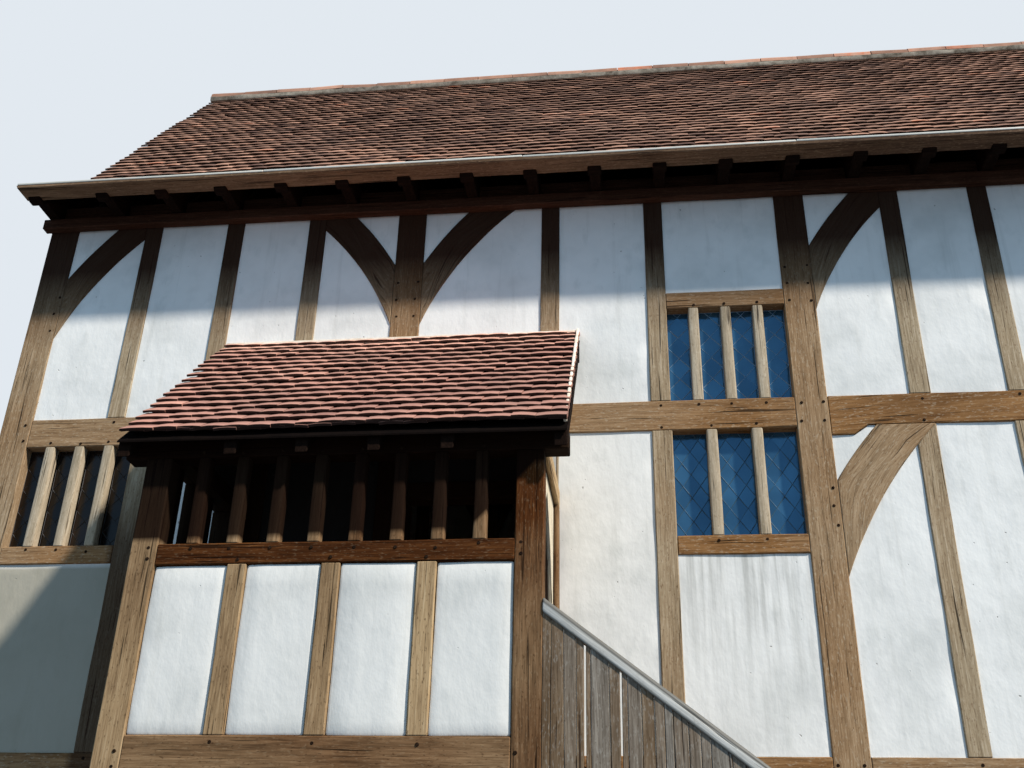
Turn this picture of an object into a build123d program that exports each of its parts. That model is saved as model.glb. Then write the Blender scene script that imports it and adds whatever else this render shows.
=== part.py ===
from build123d import *
import math
import os

# Half timbered house with a covered stair landing, in millimetres.
# The origin is under the middle post of the front wall, on the ground, at the outer face of the oak frame.
# X runs along the front, Y runs into the house and Z is up.

# Plan of the oak frame
bay_length = 3350.0
bay_count = 4
house_depth = 5552.0
post_width = 256.0
corner_post_width = 272.0
frame_depth = 220.0
stud_width = 160.0
stud_depth = 150.0

# Heights above the ground
plinth_height = 450.0
plinth_projection = 40.0
plinth_thickness = 320.0
sill_beam_height = 220.0
first_floor_level = 2788.0
floor_rail_height = 260.0
mid_rail_level = 5536.0
mid_rail_height = 260.0
plate_level = 7544.0
plate_height = 240.0

# Cornice, the outer part of the wall plate, proud of the wall and hanging below the plate
cornice_projection = 90.0
cornice_drop = 49.0
cornice_height = 105.0

# Haunch under the middle rail, beside the middle post
haunch_drop = 79.0
haunch_flat = 178.0
haunch_length = 289.0

# How far the front studs stand off an even spacing, bay by bay
upper_shifts = [(21.0, 2.0, -25.0), (127.0, -51.0), (-17.0, -85.0, 0.0), (25.0, -2.0, -21.0)]
lower_shifts = [(40.0, 0.0), (127.0, -51.0), (-17.0, -85.0, 0.0), (0.0, 0.0, 0.0)]
ground_shifts = [(0.0, 0.0, 0.0), (127.0, -51.0), (0.0, 0.0, 0.0), (0.0, 0.0, 0.0)]
end_studs_per_half = 2

# Braces, measured down the post and along the rail that they carry
brace_depth = 130.0
upper_brace = dict(
    foot_low=1195.0, foot_high=570.0, head_near=425.0, head_far=850.0, bow_low=95.0, bow_high=20.0,
)
lower_brace = dict(
    foot_low=1224.0, foot_high=463.0, head_near=348.0, head_far=796.0, bow_low=71.0, bow_high=15.0,
)
curved_clearance = 0.8

# Limewashed panels
plaster_setback = 15.0
plaster_thickness = 100.0
smallest_panel = 4000.0
shortest_span = 1.0

# Windows and doorway
light_height_below = 884.0
light_height_above = 868.0
window_sill_height = 150.0
window_head_height = 152.0
mullion_width = 84.0
mullion_depth = 90.0
mullion_chamfer = 8.0
lights_left = 4
lights_below = 3
lights_above = 4
glass_setback = 110.0
glass_thickness = 8.0
doorway_height = 1940.0
door_lintel_height = 150.0

# First floor
floor_board_thickness = 30.0
cross_beam_width = 240.0
cross_beam_height = 260.0
joist_width = 120.0
joist_height = 150.0
joists_per_bay = 7

# Main roof
main_pitch = math.radians(53.4)
eave_pitch = math.radians(36.9)
rafter_width = 100.0
rafter_depth = 125.0
rafter_seat = 180.0
rafters_per_bay = 6
sprocket_tip = 50.0
tile_layer = 90.0
eave_overhang = 450.0
tile_drip = 50.0
verge_overhang = 48.0
ridge_leg = 170.0
ridge_thickness = 28.0
gutter_width = 200.0
gutter_height = 42.0
gutter_back_height = 45.0
gutter_board = 25.0
gutter_below_soffit = 20.0

# Gables, with the collar's height as a share of the gable's
collar_share = 0.534
collar_height = 200.0
gable_studs_per_half = 2
upper_gable_stud_offset = 520.0

# Porch over the stair landing
porch_depth = 1360.0
porch_width = 2763.0
porch_post_width = 184.0
porch_post_depth = 150.0
porch_rear_post_depth = 120.0
porch_stud_width = 130.0
porch_studs = 3
landing_level = 2693.0
porch_sill_height = 250.0
porch_rail_level = 3776.0
porch_rail_height = 144.0
porch_plate_level = 4540.0
porch_plate_height = 148.0
porch_lights = 9
porch_side_lights = 4
side_tie_level = 4616.0
side_tie_height = 150.0
arch_springing = 3450.0
arch_apex = 4512.0
arch_bow = 120.0
arch_setback = 40.0
arch_thickness = 100.0
arch_joint = 1.0
porch_panel_thickness = 80.0
spandrel_setback = 30.0
landing_board_thickness = 40.0
landing_joists = 5
landing_joist_width = 100.0
landing_joist_height = 150.0

# Porch roof
porch_pitch = math.radians(44.9)
porch_tile_layer = 80.0
porch_eave_overhang = 160.0
porch_verge = 163.0
porch_rafter_width = 90.0
porch_rafter_depth = 90.0
porch_rafter_stand = 69.0
porch_foot_reach = 130.0
porch_inner_rafters = 4
ledger_height = 150.0
ledger_depth = 60.0

# Stair
riser_count = 15
going = 234.4
tread_thickness = 40.0
nosing = 25.0
riser_thickness = 20.0
string_thickness = 60.0
string_above_nosings = 30.0
string_below_nosings = 230.0
board_thickness = 25.0
board_drop = 30.0
board_ground_gap = 20.0
handrail_rise = 840.0
handrail_height = 96.0
handrail_width = 90.0
handrail_proud = 15.0
handrail_round = 24.0
newel_size = 120.0
newel_height = 1180.0

# Sizes that follow from the ones above
half_length = bay_count * bay_length / 2 + corner_post_width / 2
half_depth = house_depth / 2
sill_top = plinth_height + sill_beam_height
floor_rail_bottom = first_floor_level - floor_rail_height
mid_rail_bottom = mid_rail_level - mid_rail_height
plate_top = plate_level + plate_height
soffit_level = plate_level - cornice_drop + cornice_height
roof_half_length = half_length + verge_overhang

front = Plane(origin=(0, 0, 0), x_dir=(1, 0, 0), z_dir=(0, -1, 0))
rear = Plane(origin=(0, house_depth, 0), x_dir=(-1, 0, 0), z_dir=(0, 1, 0))
left_end = Plane(origin=(-half_length, half_depth, 0), x_dir=(0, -1, 0), z_dir=(-1, 0, 0))
right_end = Plane(origin=(half_length, half_depth, 0), x_dir=(0, 1, 0), z_dir=(1, 0, 0))

nodes = {}


def add(node, pieces):
    nodes.setdefault(node, []).extend(pieces)


def block(low, high):
    """A box between two corners."""
    size = [high[axis] - low[axis] for axis in range(3)]
    middle = [(high[axis] + low[axis]) / 2 for axis in range(3)]
    return Pos(*middle) * Box(*size)


def timber(wall, left, right, low, high, near=0.0, far=frame_depth):
    """A squared timber in a wall: left, right, low and high on its face, near and far behind it."""
    middle = Pos((left + right) / 2, (low + high) / 2, -(near + far) / 2)
    return wall.location * middle * Box(right - left, high - low, far - near)


def rectangle(left, right, low, high):
    return Pos((left + right) / 2, (low + high) / 2) * Rectangle(right - left, high - low)


def outline(*points):
    return Polygon(*points, align=None)


def thicken(wall, shape, near, far):
    """Solids of a flat shape on a wall's face, from near to far behind that face."""
    solids = []
    for face in shape.faces():
        if face.area > smallest_panel:
            solids.append(wall.location * Pos(0, 0, -near) * extrude(face, amount=far - near, dir=(0, 0, -1)))
    return solids


def largest(shape):
    return max(shape.faces(), key=lambda face: face.area)


def along_front(section, left, right, from_rear=False):
    """A cross section in Y and Z carried along X. The rear slope is the front one turned round."""
    points = [(house_depth - y if from_rear else y, z) for y, z in section]
    profile = Plane(origin=(left, 0, 0), x_dir=(0, 1, 0), z_dir=(1, 0, 0)) * outline(*points)
    return extrude(profile, amount=right - left, dir=(1, 0, 0))


def spread(left, right, count, width, shifts=None):
    """Evenly spaced uprights between two edges, each moved by its own shift."""
    gap = (right - left - count * width) / (count + 1)
    uprights = []
    for index in range(count):
        shift = shifts[index] if shifts else 0.0
        start = left + gap + index * (gap + width) + shift
        uprights.append((start, start + width))
    return uprights


def gaps(uprights):
    ordered = sorted(uprights)
    return [(ordered[index][1], ordered[index + 1][0]) for index in range(len(ordered) - 1)]


def bowed(start, end, corner, bow):
    """An arc from start to end that bows towards a corner."""
    middle = ((start[0] + end[0]) / 2, (start[1] + end[1]) / 2)
    run = (end[0] - start[0], end[1] - start[1])
    length = math.hypot(*run)
    normal = (-run[1] / length, run[0] / length)
    if normal[0] * (corner[0] - middle[0]) + normal[1] * (corner[1] - middle[1]) < 0:
        normal = (-normal[0], -normal[1])
    return ThreePointArc(start, (middle[0] + bow * normal[0], middle[1] + bow * normal[1]), end)


def brace_outline(edge, side, rail, shape, grow=0.0):
    """A curved brace from a post's edge up to the underside of a rail."""
    foot_low = (edge, rail - shape["foot_low"] - grow)
    foot_high = (edge, rail - shape["foot_high"] + grow)
    head_near = (edge + side * (shape["head_near"] - grow), rail)
    head_far = (edge + side * (shape["head_far"] + grow), rail)
    corner = (edge, rail)
    edges = [
        bowed(foot_low, head_far, corner, shape["bow_low"]),
        Line(head_far, head_near),
        bowed(head_near, foot_high, corner, shape["bow_high"]),
        Line(foot_high, foot_low),
    ]
    return make_face(edges)


def fill_storey(wall, uprights, low, high, cuts, holes):
    """Plaster panels between neighbouring uprights, cut round braces and left out of window openings."""
    panels = []
    for left, right in gaps(uprights):
        spans = [(low, high)]
        for hole_left, hole_right, hole_low, hole_high in holes:
            if hole_left < (left + right) / 2 < hole_right:
                spans = [(low, hole_low), (hole_high, high)]
        for span_low, span_high in spans:
            if span_high - span_low < shortest_span:
                continue
            panel = rectangle(left, right, span_low, span_high)
            for cut in cuts:
                panel = panel - cut
            panels += thicken(wall, panel, plaster_setback, plaster_setback + plaster_thickness)
    return panels


def mullions(wall, left, right, low, high, lights):
    """Chamfered upright bars that divide an opening into lights."""
    bars = []
    for start, end in spread(left, right, lights - 1, mullion_width):
        bar = timber(wall, start, end, low, high, far=mullion_depth)
        long_edges = bar.edges().filter_by(Axis.Z)
        bars.append(chamfer(long_edges, mullion_chamfer))
    return bars


# Posts of the front and rear walls, as left and right edges from the first corner to the last
post_edges = []
for index in range(bay_count + 1):
    centre = (index - bay_count / 2) * bay_length
    width = corner_post_width if index in (0, bay_count) else post_width
    post_edges.append((centre - width / 2, centre + width / 2))
middle_post = bay_count // 2


def bay_studs(shifts_by_bay):
    """Studs of one storey, bay by bay, each bay spaced evenly and then shifted."""
    studs = []
    for index, (left, right) in enumerate(gaps(post_edges)):
        shifts = shifts_by_bay[index % len(shifts_by_bay)]
        studs.append(spread(left, right, len(shifts), stud_width, shifts))
    return studs


def mirrored(shifts_by_bay):
    return [tuple(-shift for shift in reversed(shifts)) for shifts in reversed(shifts_by_bay)]


def long_wall(wall, name, ground, lower, upper, low_braces, high_braces, holes):
    """One long side: posts, rails, studs, braces and panels. Holes carry the storey that they are in."""
    post_pieces = [timber(wall, left, right, sill_top, plate_level) for left, right in post_edges]
    add("main_posts", post_pieces)
    rails = []
    for index, (left, right) in enumerate(gaps(post_edges)):
        rails.append(timber(wall, left, right, floor_rail_bottom, first_floor_level))
        if name == "front" and index == middle_post:
            haunched = outline(
                (left, mid_rail_level),
                (left, mid_rail_bottom - haunch_drop),
                (left + haunch_flat, mid_rail_bottom - haunch_drop),
                (left + haunch_length, mid_rail_bottom),
                (right, mid_rail_bottom),
                (right, mid_rail_level),
            )
            rails += thicken(wall, haunched, 0.0, frame_depth)
        else:
            rails.append(timber(wall, left, right, mid_rail_bottom, mid_rail_level))
    add(name + "_rails", rails)

    storeys = [
        ("ground", ground, sill_top, floor_rail_bottom, []),
        ("lower", lower, first_floor_level, mid_rail_bottom, low_braces),
        ("upper", upper, mid_rail_level, plate_level, high_braces),
    ]
    for storey, stud_shifts, low, high, braces in storeys:
        studs = [stud for bay in bay_studs(stud_shifts) for stud in bay]
        shape = lower_brace if storey == "lower" else upper_brace
        cuts = []
        for post, side in braces:
            edge = post_edges[post][1] if side > 0 else post_edges[post][0]
            brace = brace_outline(edge, side, high, shape)
            cuts.append(brace_outline(edge, side, high, shape, curved_clearance))
            if storey == "upper":
                for stud_left, stud_right in studs:
                    brace = largest(brace - rectangle(stud_left, stud_right, low, high))
            add("wall_braces", thicken(wall, brace, 0.0, brace_depth))
        for stud_left, stud_right in studs:
            stud = rectangle(stud_left, stud_right, low, high)
            if storey == "lower":
                for cut in cuts:
                    stud = largest(stud - cut)
            add(name + "_studs", thicken(wall, stud, 0.0, stud_depth))
        if name == "front" and storey == "lower":
            left = post_edges[middle_post][1]
            cuts.append(outline(
                (left, mid_rail_bottom - haunch_drop),
                (left + haunch_flat, mid_rail_bottom - haunch_drop),
                (left + haunch_length, mid_rail_bottom),
                (left, mid_rail_bottom),
            ))
        storey_holes = [hole[1:] for hole in holes if hole[0] == storey]
        add(name + "_plaster", fill_storey(wall, post_edges + studs, low, high, cuts, storey_holes))


def window(wall, left, right, low, high, lights):
    add("window_mullions", mullions(wall, left, right, low, high, lights))
    glass_back = glass_setback + glass_thickness
    add("window_glass", [timber(wall, left, right, low, high, glass_setback, glass_back)])


# Front wall: which posts carry a brace, and on which side
front_high_braces = [(0, 1), (1, -1), (1, 1), (2, 1), (3, -1), (3, 1), (4, -1)]
front_low_braces = [(2, 1), (3, -1)]
lower_studs = bay_studs(lower_shifts)
sill_line = mid_rail_bottom - light_height_below
head_line = mid_rail_level + light_height_above
hall_left = lower_studs[1][1][1]
hall_right = post_edges[middle_post][0]
corner_left = post_edges[0][1]
corner_right = lower_studs[0][0][0]
door_left = post_edges[1][1]
door_right = lower_studs[1][0][0]
door_head = first_floor_level + doorway_height

front_holes = [
    ("lower", corner_left, corner_right, sill_line - window_sill_height, mid_rail_bottom),
    ("lower", hall_left, hall_right, sill_line - window_sill_height, mid_rail_bottom),
    ("upper", hall_left, hall_right, mid_rail_level, head_line + window_head_height),
    ("lower", door_left, door_right, first_floor_level, door_head + door_lintel_height),
]
long_wall(
    front, "front", ground_shifts, lower_shifts, upper_shifts,
    front_low_braces, front_high_braces, front_holes,
)
add("front_rails", [
    timber(front, corner_left, corner_right, sill_line - window_sill_height, sill_line, far=stud_depth),
    timber(front, hall_left, hall_right, sill_line - window_sill_height, sill_line, far=stud_depth),
    timber(front, hall_left, hall_right, head_line, head_line + window_head_height, far=stud_depth),
    timber(front, door_left, door_right, door_head, door_head + door_lintel_height, far=stud_depth),
])
window(front, corner_left, corner_right, sill_line, mid_rail_bottom, lights_left)
window(front, hall_left, hall_right, sill_line, mid_rail_bottom, lights_below)
window(front, hall_left, hall_right, mid_rail_level, head_line, lights_above)

# Rear wall: the front's frame seen from behind, with the hall window and no doorway
rear_high_braces = [(bay_count - post, -side) for post, side in front_high_braces]
rear_ground = mirrored(ground_shifts)
rear_lower = mirrored([ground_shifts[0]] + lower_shifts[1:])
rear_upper = mirrored(upper_shifts)
rear_holes = [
    ("lower", -hall_right, -hall_left, sill_line - window_sill_height, mid_rail_bottom),
    ("upper", -hall_right, -hall_left, mid_rail_level, head_line + window_head_height),
]
long_wall(rear, "rear", rear_ground, rear_lower, rear_upper, [], rear_high_braces, rear_holes)
add("rear_rails", [
    timber(rear, -hall_right, -hall_left, sill_line - window_sill_height, sill_line, far=stud_depth),
    timber(rear, -hall_right, -hall_left, head_line, head_line + window_head_height, far=stud_depth),
])
window(rear, -hall_right, -hall_left, sill_line, mid_rail_bottom, lights_below)
window(rear, -hall_right, -hall_left, mid_rail_level, head_line, lights_above)

# Plinth, sill beams and wall plates
plinth_out = half_length + plinth_projection
plinth_in = plinth_thickness - plinth_projection
front_plinth = block((-plinth_out, -plinth_projection, 0), (plinth_out, plinth_in, plinth_height))
add("long_plinths", [
    front_plinth,
    block(
        (-plinth_out, house_depth - plinth_in, 0),
        (plinth_out, house_depth + plinth_projection, plinth_height),
    ),
])
for side in (-1, 1):
    left, right = sorted((side * plinth_out, side * (half_length - plinth_in)))
    add("end_plinths", [block((left, plinth_in, 0), (right, house_depth - plinth_in, plinth_height))])
plate_section = [
    (0.0, plate_level),
    (frame_depth, plate_level),
    (frame_depth, plate_top),
    (0.0, plate_top),
]
cornice_section = [
    (-cornice_projection, soffit_level - cornice_height),
    (0.0, soffit_level - cornice_height),
    (0.0, soffit_level),
    (-cornice_projection, soffit_level),
]
for wall, from_rear in ((front, False), (rear, True)):
    add("long_sills", [timber(wall, -half_length, half_length, plinth_height, sill_top)])
    for section in (plate_section, cornice_section):
        add("wall_plates", [along_front(section, -roof_half_length, roof_half_length, from_rear)])

# End walls, from the inner face of one corner post to the other
end_reach = half_depth - frame_depth
roof_rise = math.tan(main_pitch)
rafter_drop = rafter_depth / math.cos(main_pitch)
tile_drop = tile_layer / math.cos(main_pitch)
underside_at_face = plate_top - rafter_seat * roof_rise
rafter_top_at_face = underside_at_face + rafter_drop
tile_top_at_face = rafter_top_at_face + tile_drop
underside_at_ridge = underside_at_face + half_depth * roof_rise
gable_reach = half_depth - rafter_seat
collar_level = plate_top + collar_share * (underside_at_ridge - plate_top)

for wall in (left_end, right_end):
    add("end_sills", [timber(wall, -end_reach, end_reach, plinth_height, sill_top)])
    add("main_posts", [timber(wall, -post_width / 2, post_width / 2, sill_top, plate_level)])
    add("tie_beams", [timber(wall, -end_reach, end_reach, plate_level, plate_top)])
    corners = [(-half_depth, -end_reach), (-post_width / 2, post_width / 2), (end_reach, half_depth)]
    studs = []
    for left, right in gaps(corners):
        studs += spread(left, right, end_studs_per_half, stud_width)
        add("end_rails", [timber(wall, left, right, floor_rail_bottom, first_floor_level)])
        add("end_rails", [timber(wall, left, right, mid_rail_bottom, mid_rail_level)])
    cuts = []
    for edge, side in ((-end_reach, 1), (end_reach, -1)):
        brace = brace_outline(edge, side, plate_level, upper_brace)
        cuts.append(brace_outline(edge, side, plate_level, upper_brace, curved_clearance))
        for stud_left, stud_right in studs:
            brace = largest(brace - rectangle(stud_left, stud_right, mid_rail_level, plate_level))
        add("wall_braces", thicken(wall, brace, 0.0, brace_depth))
    storeys = [
        (sill_top, floor_rail_bottom, []),
        (first_floor_level, mid_rail_bottom, []),
        (mid_rail_level, plate_level, cuts),
    ]
    for low, high, storey_cuts in storeys:
        add("end_studs", [timber(wall, left, right, low, high, far=stud_depth) for left, right in studs])
        add("end_plaster", fill_storey(wall, corners + studs, low, high, storey_cuts, []))

    # Gable over the tie beam: collar, studs and panels under the end rafters
    triangle = outline((-gable_reach, plate_top), (gable_reach, plate_top), (0, underside_at_ridge))
    collar = triangle & rectangle(-half_depth, half_depth, collar_level, collar_level + collar_height)
    uprights = [(-stud_width / 2, stud_width / 2)]
    for left, right in ((-gable_reach, -stud_width / 2), (stud_width / 2, gable_reach)):
        uprights += spread(left, right, gable_studs_per_half, stud_width)
    high_uprights = [
        (offset - stud_width / 2, offset + stud_width / 2)
        for offset in (-upper_gable_stud_offset, 0.0, upper_gable_stud_offset)
    ]
    add("gable_collars", thicken(wall, collar, 0.0, stud_depth))
    panel = triangle - collar
    for left, right in uprights:
        stud = triangle & rectangle(left, right, plate_top, collar_level)
        panel = panel - stud
        add("end_studs", thicken(wall, stud, 0.0, stud_depth))
    for left, right in high_uprights:
        stud = triangle & rectangle(left, right, collar_level + collar_height, underside_at_ridge)
        panel = panel - stud
        add("end_studs", thicken(wall, stud, 0.0, stud_depth))
    add("end_plaster", thicken(wall, panel, plaster_setback, plaster_setback + plaster_thickness))

# First floor: cross beams from post to post, joists between them and boards on top
joist_top = first_floor_level - floor_board_thickness
inner_length = half_length - frame_depth
inner_posts = post_edges[1:-1]
beam_spans = [(-inner_length, -inner_length)]
for left, right in inner_posts:
    centre = (left + right) / 2
    half_beam = cross_beam_width / 2
    beam_spans.append((centre - half_beam, centre + half_beam))
    add("cross_beams", [block(
        (centre - half_beam, frame_depth, joist_top - cross_beam_height),
        (centre + half_beam, house_depth - frame_depth, joist_top),
    )])
    add("tie_beams", [block(
        (centre - half_beam, frame_depth, plate_level),
        (centre + half_beam, house_depth - frame_depth, plate_top),
    )])
beam_spans.append((inner_length, inner_length))
for left, right in gaps(beam_spans):
    for low, high in spread(frame_depth, house_depth - frame_depth, joists_per_bay, joist_width):
        add("floor_joists", [block((left, low, joist_top - joist_height), (right, high, joist_top))])
add("floor_boards", [block(
    (-inner_length, frame_depth, joist_top),
    (inner_length, house_depth - frame_depth, first_floor_level),
)])

# Main roof in cross section. Y is measured from the outer face of the wall that carries the slope.
eave_rise = math.tan(eave_pitch)
eave_tile_drop = tile_layer / math.cos(eave_pitch)
sprocket_end = -(eave_overhang - tile_drip)
sprocket_top_at_face = soffit_level + sprocket_tip - sprocket_end * eave_rise
eave_tile_at_face = sprocket_top_at_face + eave_tile_drop
tile_bend = (eave_tile_at_face - tile_top_at_face) / (roof_rise - eave_rise)
under_bend = (sprocket_top_at_face - rafter_top_at_face) / (roof_rise - eave_rise)
foot_front = (plate_top - rafter_top_at_face) / roof_rise

rafter_section = [
    (foot_front, plate_top),
    (rafter_seat, plate_top),
    (half_depth, underside_at_ridge),
    (half_depth, underside_at_ridge + rafter_drop),
]
sprocket_section = [
    (sprocket_end, soffit_level),
    (0.0, soffit_level),
    (0.0, plate_top),
    (foot_front, plate_top),
    (under_bend, sprocket_top_at_face + under_bend * eave_rise),
    (sprocket_end, sprocket_top_at_face + sprocket_end * eave_rise),
]
slope_section = [
    (-eave_overhang, sprocket_top_at_face - eave_overhang * eave_rise),
    (under_bend, sprocket_top_at_face + under_bend * eave_rise),
    (half_depth, rafter_top_at_face + half_depth * roof_rise),
    (half_depth, tile_top_at_face + half_depth * roof_rise),
    (tile_bend, eave_tile_at_face + tile_bend * eave_rise),
    (-eave_overhang, eave_tile_at_face - eave_overhang * eave_rise),
]
gutter_low = soffit_level - gutter_below_soffit
gutter_outer = sprocket_end - gutter_width
gutter_floor = [
    (gutter_outer, gutter_low),
    (sprocket_end, gutter_low),
    (sprocket_end, gutter_low + gutter_board),
    (gutter_outer, gutter_low + gutter_board),
]
gutter_back = [
    (sprocket_end - gutter_board, gutter_low + gutter_board),
    (sprocket_end, gutter_low + gutter_board),
    (sprocket_end, gutter_low + gutter_back_height),
    (sprocket_end - gutter_board, gutter_low + gutter_back_height),
]
gutter_front = [
    (gutter_outer, gutter_low + gutter_board),
    (gutter_outer + gutter_board, gutter_low + gutter_board),
    (gutter_outer + gutter_board, gutter_low + gutter_height),
    (gutter_outer, gutter_low + gutter_height),
]

rafter_pitch = bay_length / rafters_per_bay
inner_count = int((half_length - rafter_width) // rafter_pitch)
end_rafter = half_length - rafter_width / 2
rafter_centres = [-end_rafter]
rafter_centres += [index * rafter_pitch for index in range(-inner_count, inner_count + 1)
                   if end_rafter - abs(index * rafter_pitch) > 2 * rafter_width]
rafter_centres.append(end_rafter)
for side, from_rear in (("front", False), ("rear", True)):
    for centre in rafter_centres:
        left, right = centre - rafter_width / 2, centre + rafter_width / 2
        add(side + "_rafters", [along_front(rafter_section, left, right, from_rear)])
        add("sprockets", [along_front(sprocket_section, left, right, from_rear)])
    add(side + "_roof", [along_front(slope_section, -roof_half_length, roof_half_length, from_rear)])
    for section in (gutter_floor, gutter_back, gutter_front):
        add("gutters", [along_front(section, -roof_half_length, roof_half_length, from_rear)])

# Ridge capping, an angle that sits on both slopes
ridge_tile_level = tile_top_at_face + half_depth * roof_rise
leg_out = ridge_leg * math.cos(main_pitch)
leg_down = ridge_leg * math.sin(main_pitch)
cap_out = ridge_thickness * math.sin(main_pitch)
cap_up = ridge_thickness * math.cos(main_pitch)
ridge_leaf = [
    (half_depth, ridge_tile_level),
    (half_depth - leg_out, ridge_tile_level - leg_down),
    (half_depth - leg_out - cap_out, ridge_tile_level - leg_down + cap_up),
    (half_depth, ridge_tile_level + ridge_thickness / math.cos(main_pitch)),
]
for from_rear in (False, True):
    add("ridge", [along_front(ridge_leaf, -roof_half_length, roof_half_length, from_rear)])

# Porch frame, with its right side at the stud beside the doorway
door_stud_centre = door_right + stud_width / 2
porch_right = door_stud_centre + porch_post_width / 2
porch_left = porch_right - porch_width
porch_front = Plane(origin=(0, -porch_depth, 0), x_dir=(1, 0, 0), z_dir=(0, -1, 0))
porch_left_side = Plane(origin=(porch_left, 0, 0), x_dir=(0, -1, 0), z_dir=(-1, 0, 0))
porch_right_side = Plane(origin=(porch_right, 0, 0), x_dir=(0, 1, 0), z_dir=(1, 0, 0))
clear_left = porch_left + porch_post_width
clear_right = porch_right - porch_post_width
landing_sill_bottom = landing_level - porch_sill_height
porch_rail_top = porch_rail_level + porch_rail_height
porch_plate_top = porch_plate_level + porch_plate_height
inner_front = -porch_depth + porch_post_depth
panel_far = plaster_setback + porch_panel_thickness

for left, right in ((porch_left, clear_left), (clear_right, porch_right)):
    rear_post = timber(front, left, right, 0.0, side_tie_level, near=-porch_rear_post_depth, far=0.0)
    add("porch_posts", [
        timber(porch_front, left, right, 0.0, porch_plate_level, far=porch_post_depth),
        rear_post - front_plinth,
    ])
add("porch_beams", [
    timber(porch_front, clear_left, clear_right, landing_sill_bottom, landing_level, far=porch_post_depth),
    timber(porch_front, clear_left, clear_right, porch_rail_level, porch_rail_top, far=porch_post_depth),
])
add("porch_plates", [timber(
    porch_front, porch_left - porch_verge, porch_right + porch_verge, porch_plate_level, porch_plate_top,
    far=porch_post_depth,
)])
front_studs = spread(clear_left, clear_right, porch_studs, porch_stud_width)
add("porch_studs", [
    timber(porch_front, left, right, landing_level, porch_rail_level, far=porch_rear_post_depth)
    for left, right in front_studs
])
for left, right in gaps([(porch_left, clear_left), (clear_right, porch_right)] + front_studs):
    add("porch_plaster", [timber(
        porch_front, left, right, landing_level, porch_rail_level, plaster_setback, panel_far,
    )])
add("porch_mullions", mullions(
    porch_front, clear_left, clear_right, porch_rail_top, porch_plate_level, porch_lights,
))

# Sides of the porch. U runs towards the house on the right side and away from it on the left side.
porch_rise = math.tan(porch_pitch)
porch_tile_drop = porch_tile_layer / math.cos(porch_pitch)
porch_under_at_front = porch_plate_top + porch_rafter_stand
porch_under_at_wall = porch_under_at_front + porch_depth * porch_rise
ledger_top = porch_under_at_wall - ledger_depth * porch_rise
ledger_bottom = ledger_top - ledger_height
side_tie_top = side_tie_level + side_tie_height


def side_points(wall, points):
    """Points given as Y and Z, turned into a side wall's own U and Z."""
    sign = 1.0 if wall is porch_right_side else -1.0
    return [(sign * y, z) for y, z in points]


for wall in (porch_left_side, porch_right_side):
    start, end = sorted(u for u, _ in side_points(wall, [(inner_front, 0), (-porch_rear_post_depth, 0)]))
    tie_start, tie_end = sorted(u for u, _ in side_points(wall, [(inner_front, 0), (0.0, 0)]))
    add("porch_side_beams", [
        timber(wall, start, end, landing_sill_bottom, landing_level, far=porch_post_width),
    ])
    add("porch_side_beams", [
        timber(wall, tie_start, tie_end, side_tie_level, side_tie_top, far=porch_post_width),
    ])
    spandrel_gable = outline(*side_points(wall, [
        (inner_front, side_tie_top),
        (0.0, side_tie_top),
        (0.0, ledger_bottom),
        (-ledger_depth, ledger_bottom),
        (-ledger_depth, ledger_top),
        (inner_front, porch_under_at_front + porch_post_depth * porch_rise),
    ]))
    add("porch_plaster", thicken(
        wall, spandrel_gable, spandrel_setback, spandrel_setback + porch_panel_thickness,
    ))

# Left side: a closed panel with a row of open lights above the rail
left_start, left_end_u = porch_rear_post_depth, -inner_front
add("porch_beams", [
    timber(porch_left_side, left_start, left_end_u, porch_rail_level, porch_rail_top, far=porch_post_depth),
])
side_studs = spread(left_start, left_end_u, 1, porch_stud_width)
add("porch_studs", [
    timber(porch_left_side, left, right, landing_level, porch_rail_level, far=porch_rear_post_depth)
    for left, right in side_studs
])
for left, right in gaps([(left_start, left_start)] + side_studs + [(left_end_u, left_end_u)]):
    add("porch_plaster", [timber(
        porch_left_side, left, right, landing_level, porch_rail_level, plaster_setback, panel_far,
    )])
add("porch_mullions", mullions(
    porch_left_side, left_start, left_end_u, porch_rail_top, side_tie_level, porch_side_lights,
))

# Right side: two curved braces meet in a pointed arch over the head of the stair
arch_start, arch_end = inner_front, -porch_rear_post_depth
arch_middle = (arch_start + arch_end) / 2
for edge, inward in ((arch_start, 1.0), (arch_end, -1.0)):
    joint = arch_middle - inward * arch_joint / 2
    arch_brace = make_face([
        Line((edge, arch_springing), (edge, side_tie_level)),
        Line((edge, side_tie_level), (joint, side_tie_level)),
        Line((joint, side_tie_level), (joint, arch_apex)),
        bowed((joint, arch_apex), (edge, arch_springing), (edge, side_tie_level), arch_bow),
    ])
    add("porch_arch", thicken(porch_right_side, arch_brace, arch_setback, arch_setback + arch_thickness))

# Landing floor
landing_joist_top = landing_level - landing_board_thickness
for left, right in spread(clear_left, clear_right, landing_joists, landing_joist_width):
    add("floor_joists", [block(
        (left, inner_front, landing_joist_top - landing_joist_height),
        (right, 0.0, landing_joist_top),
    )])
add("floor_boards", [block((clear_left, inner_front, landing_joist_top), (clear_right, 0.0, landing_level))])

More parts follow.
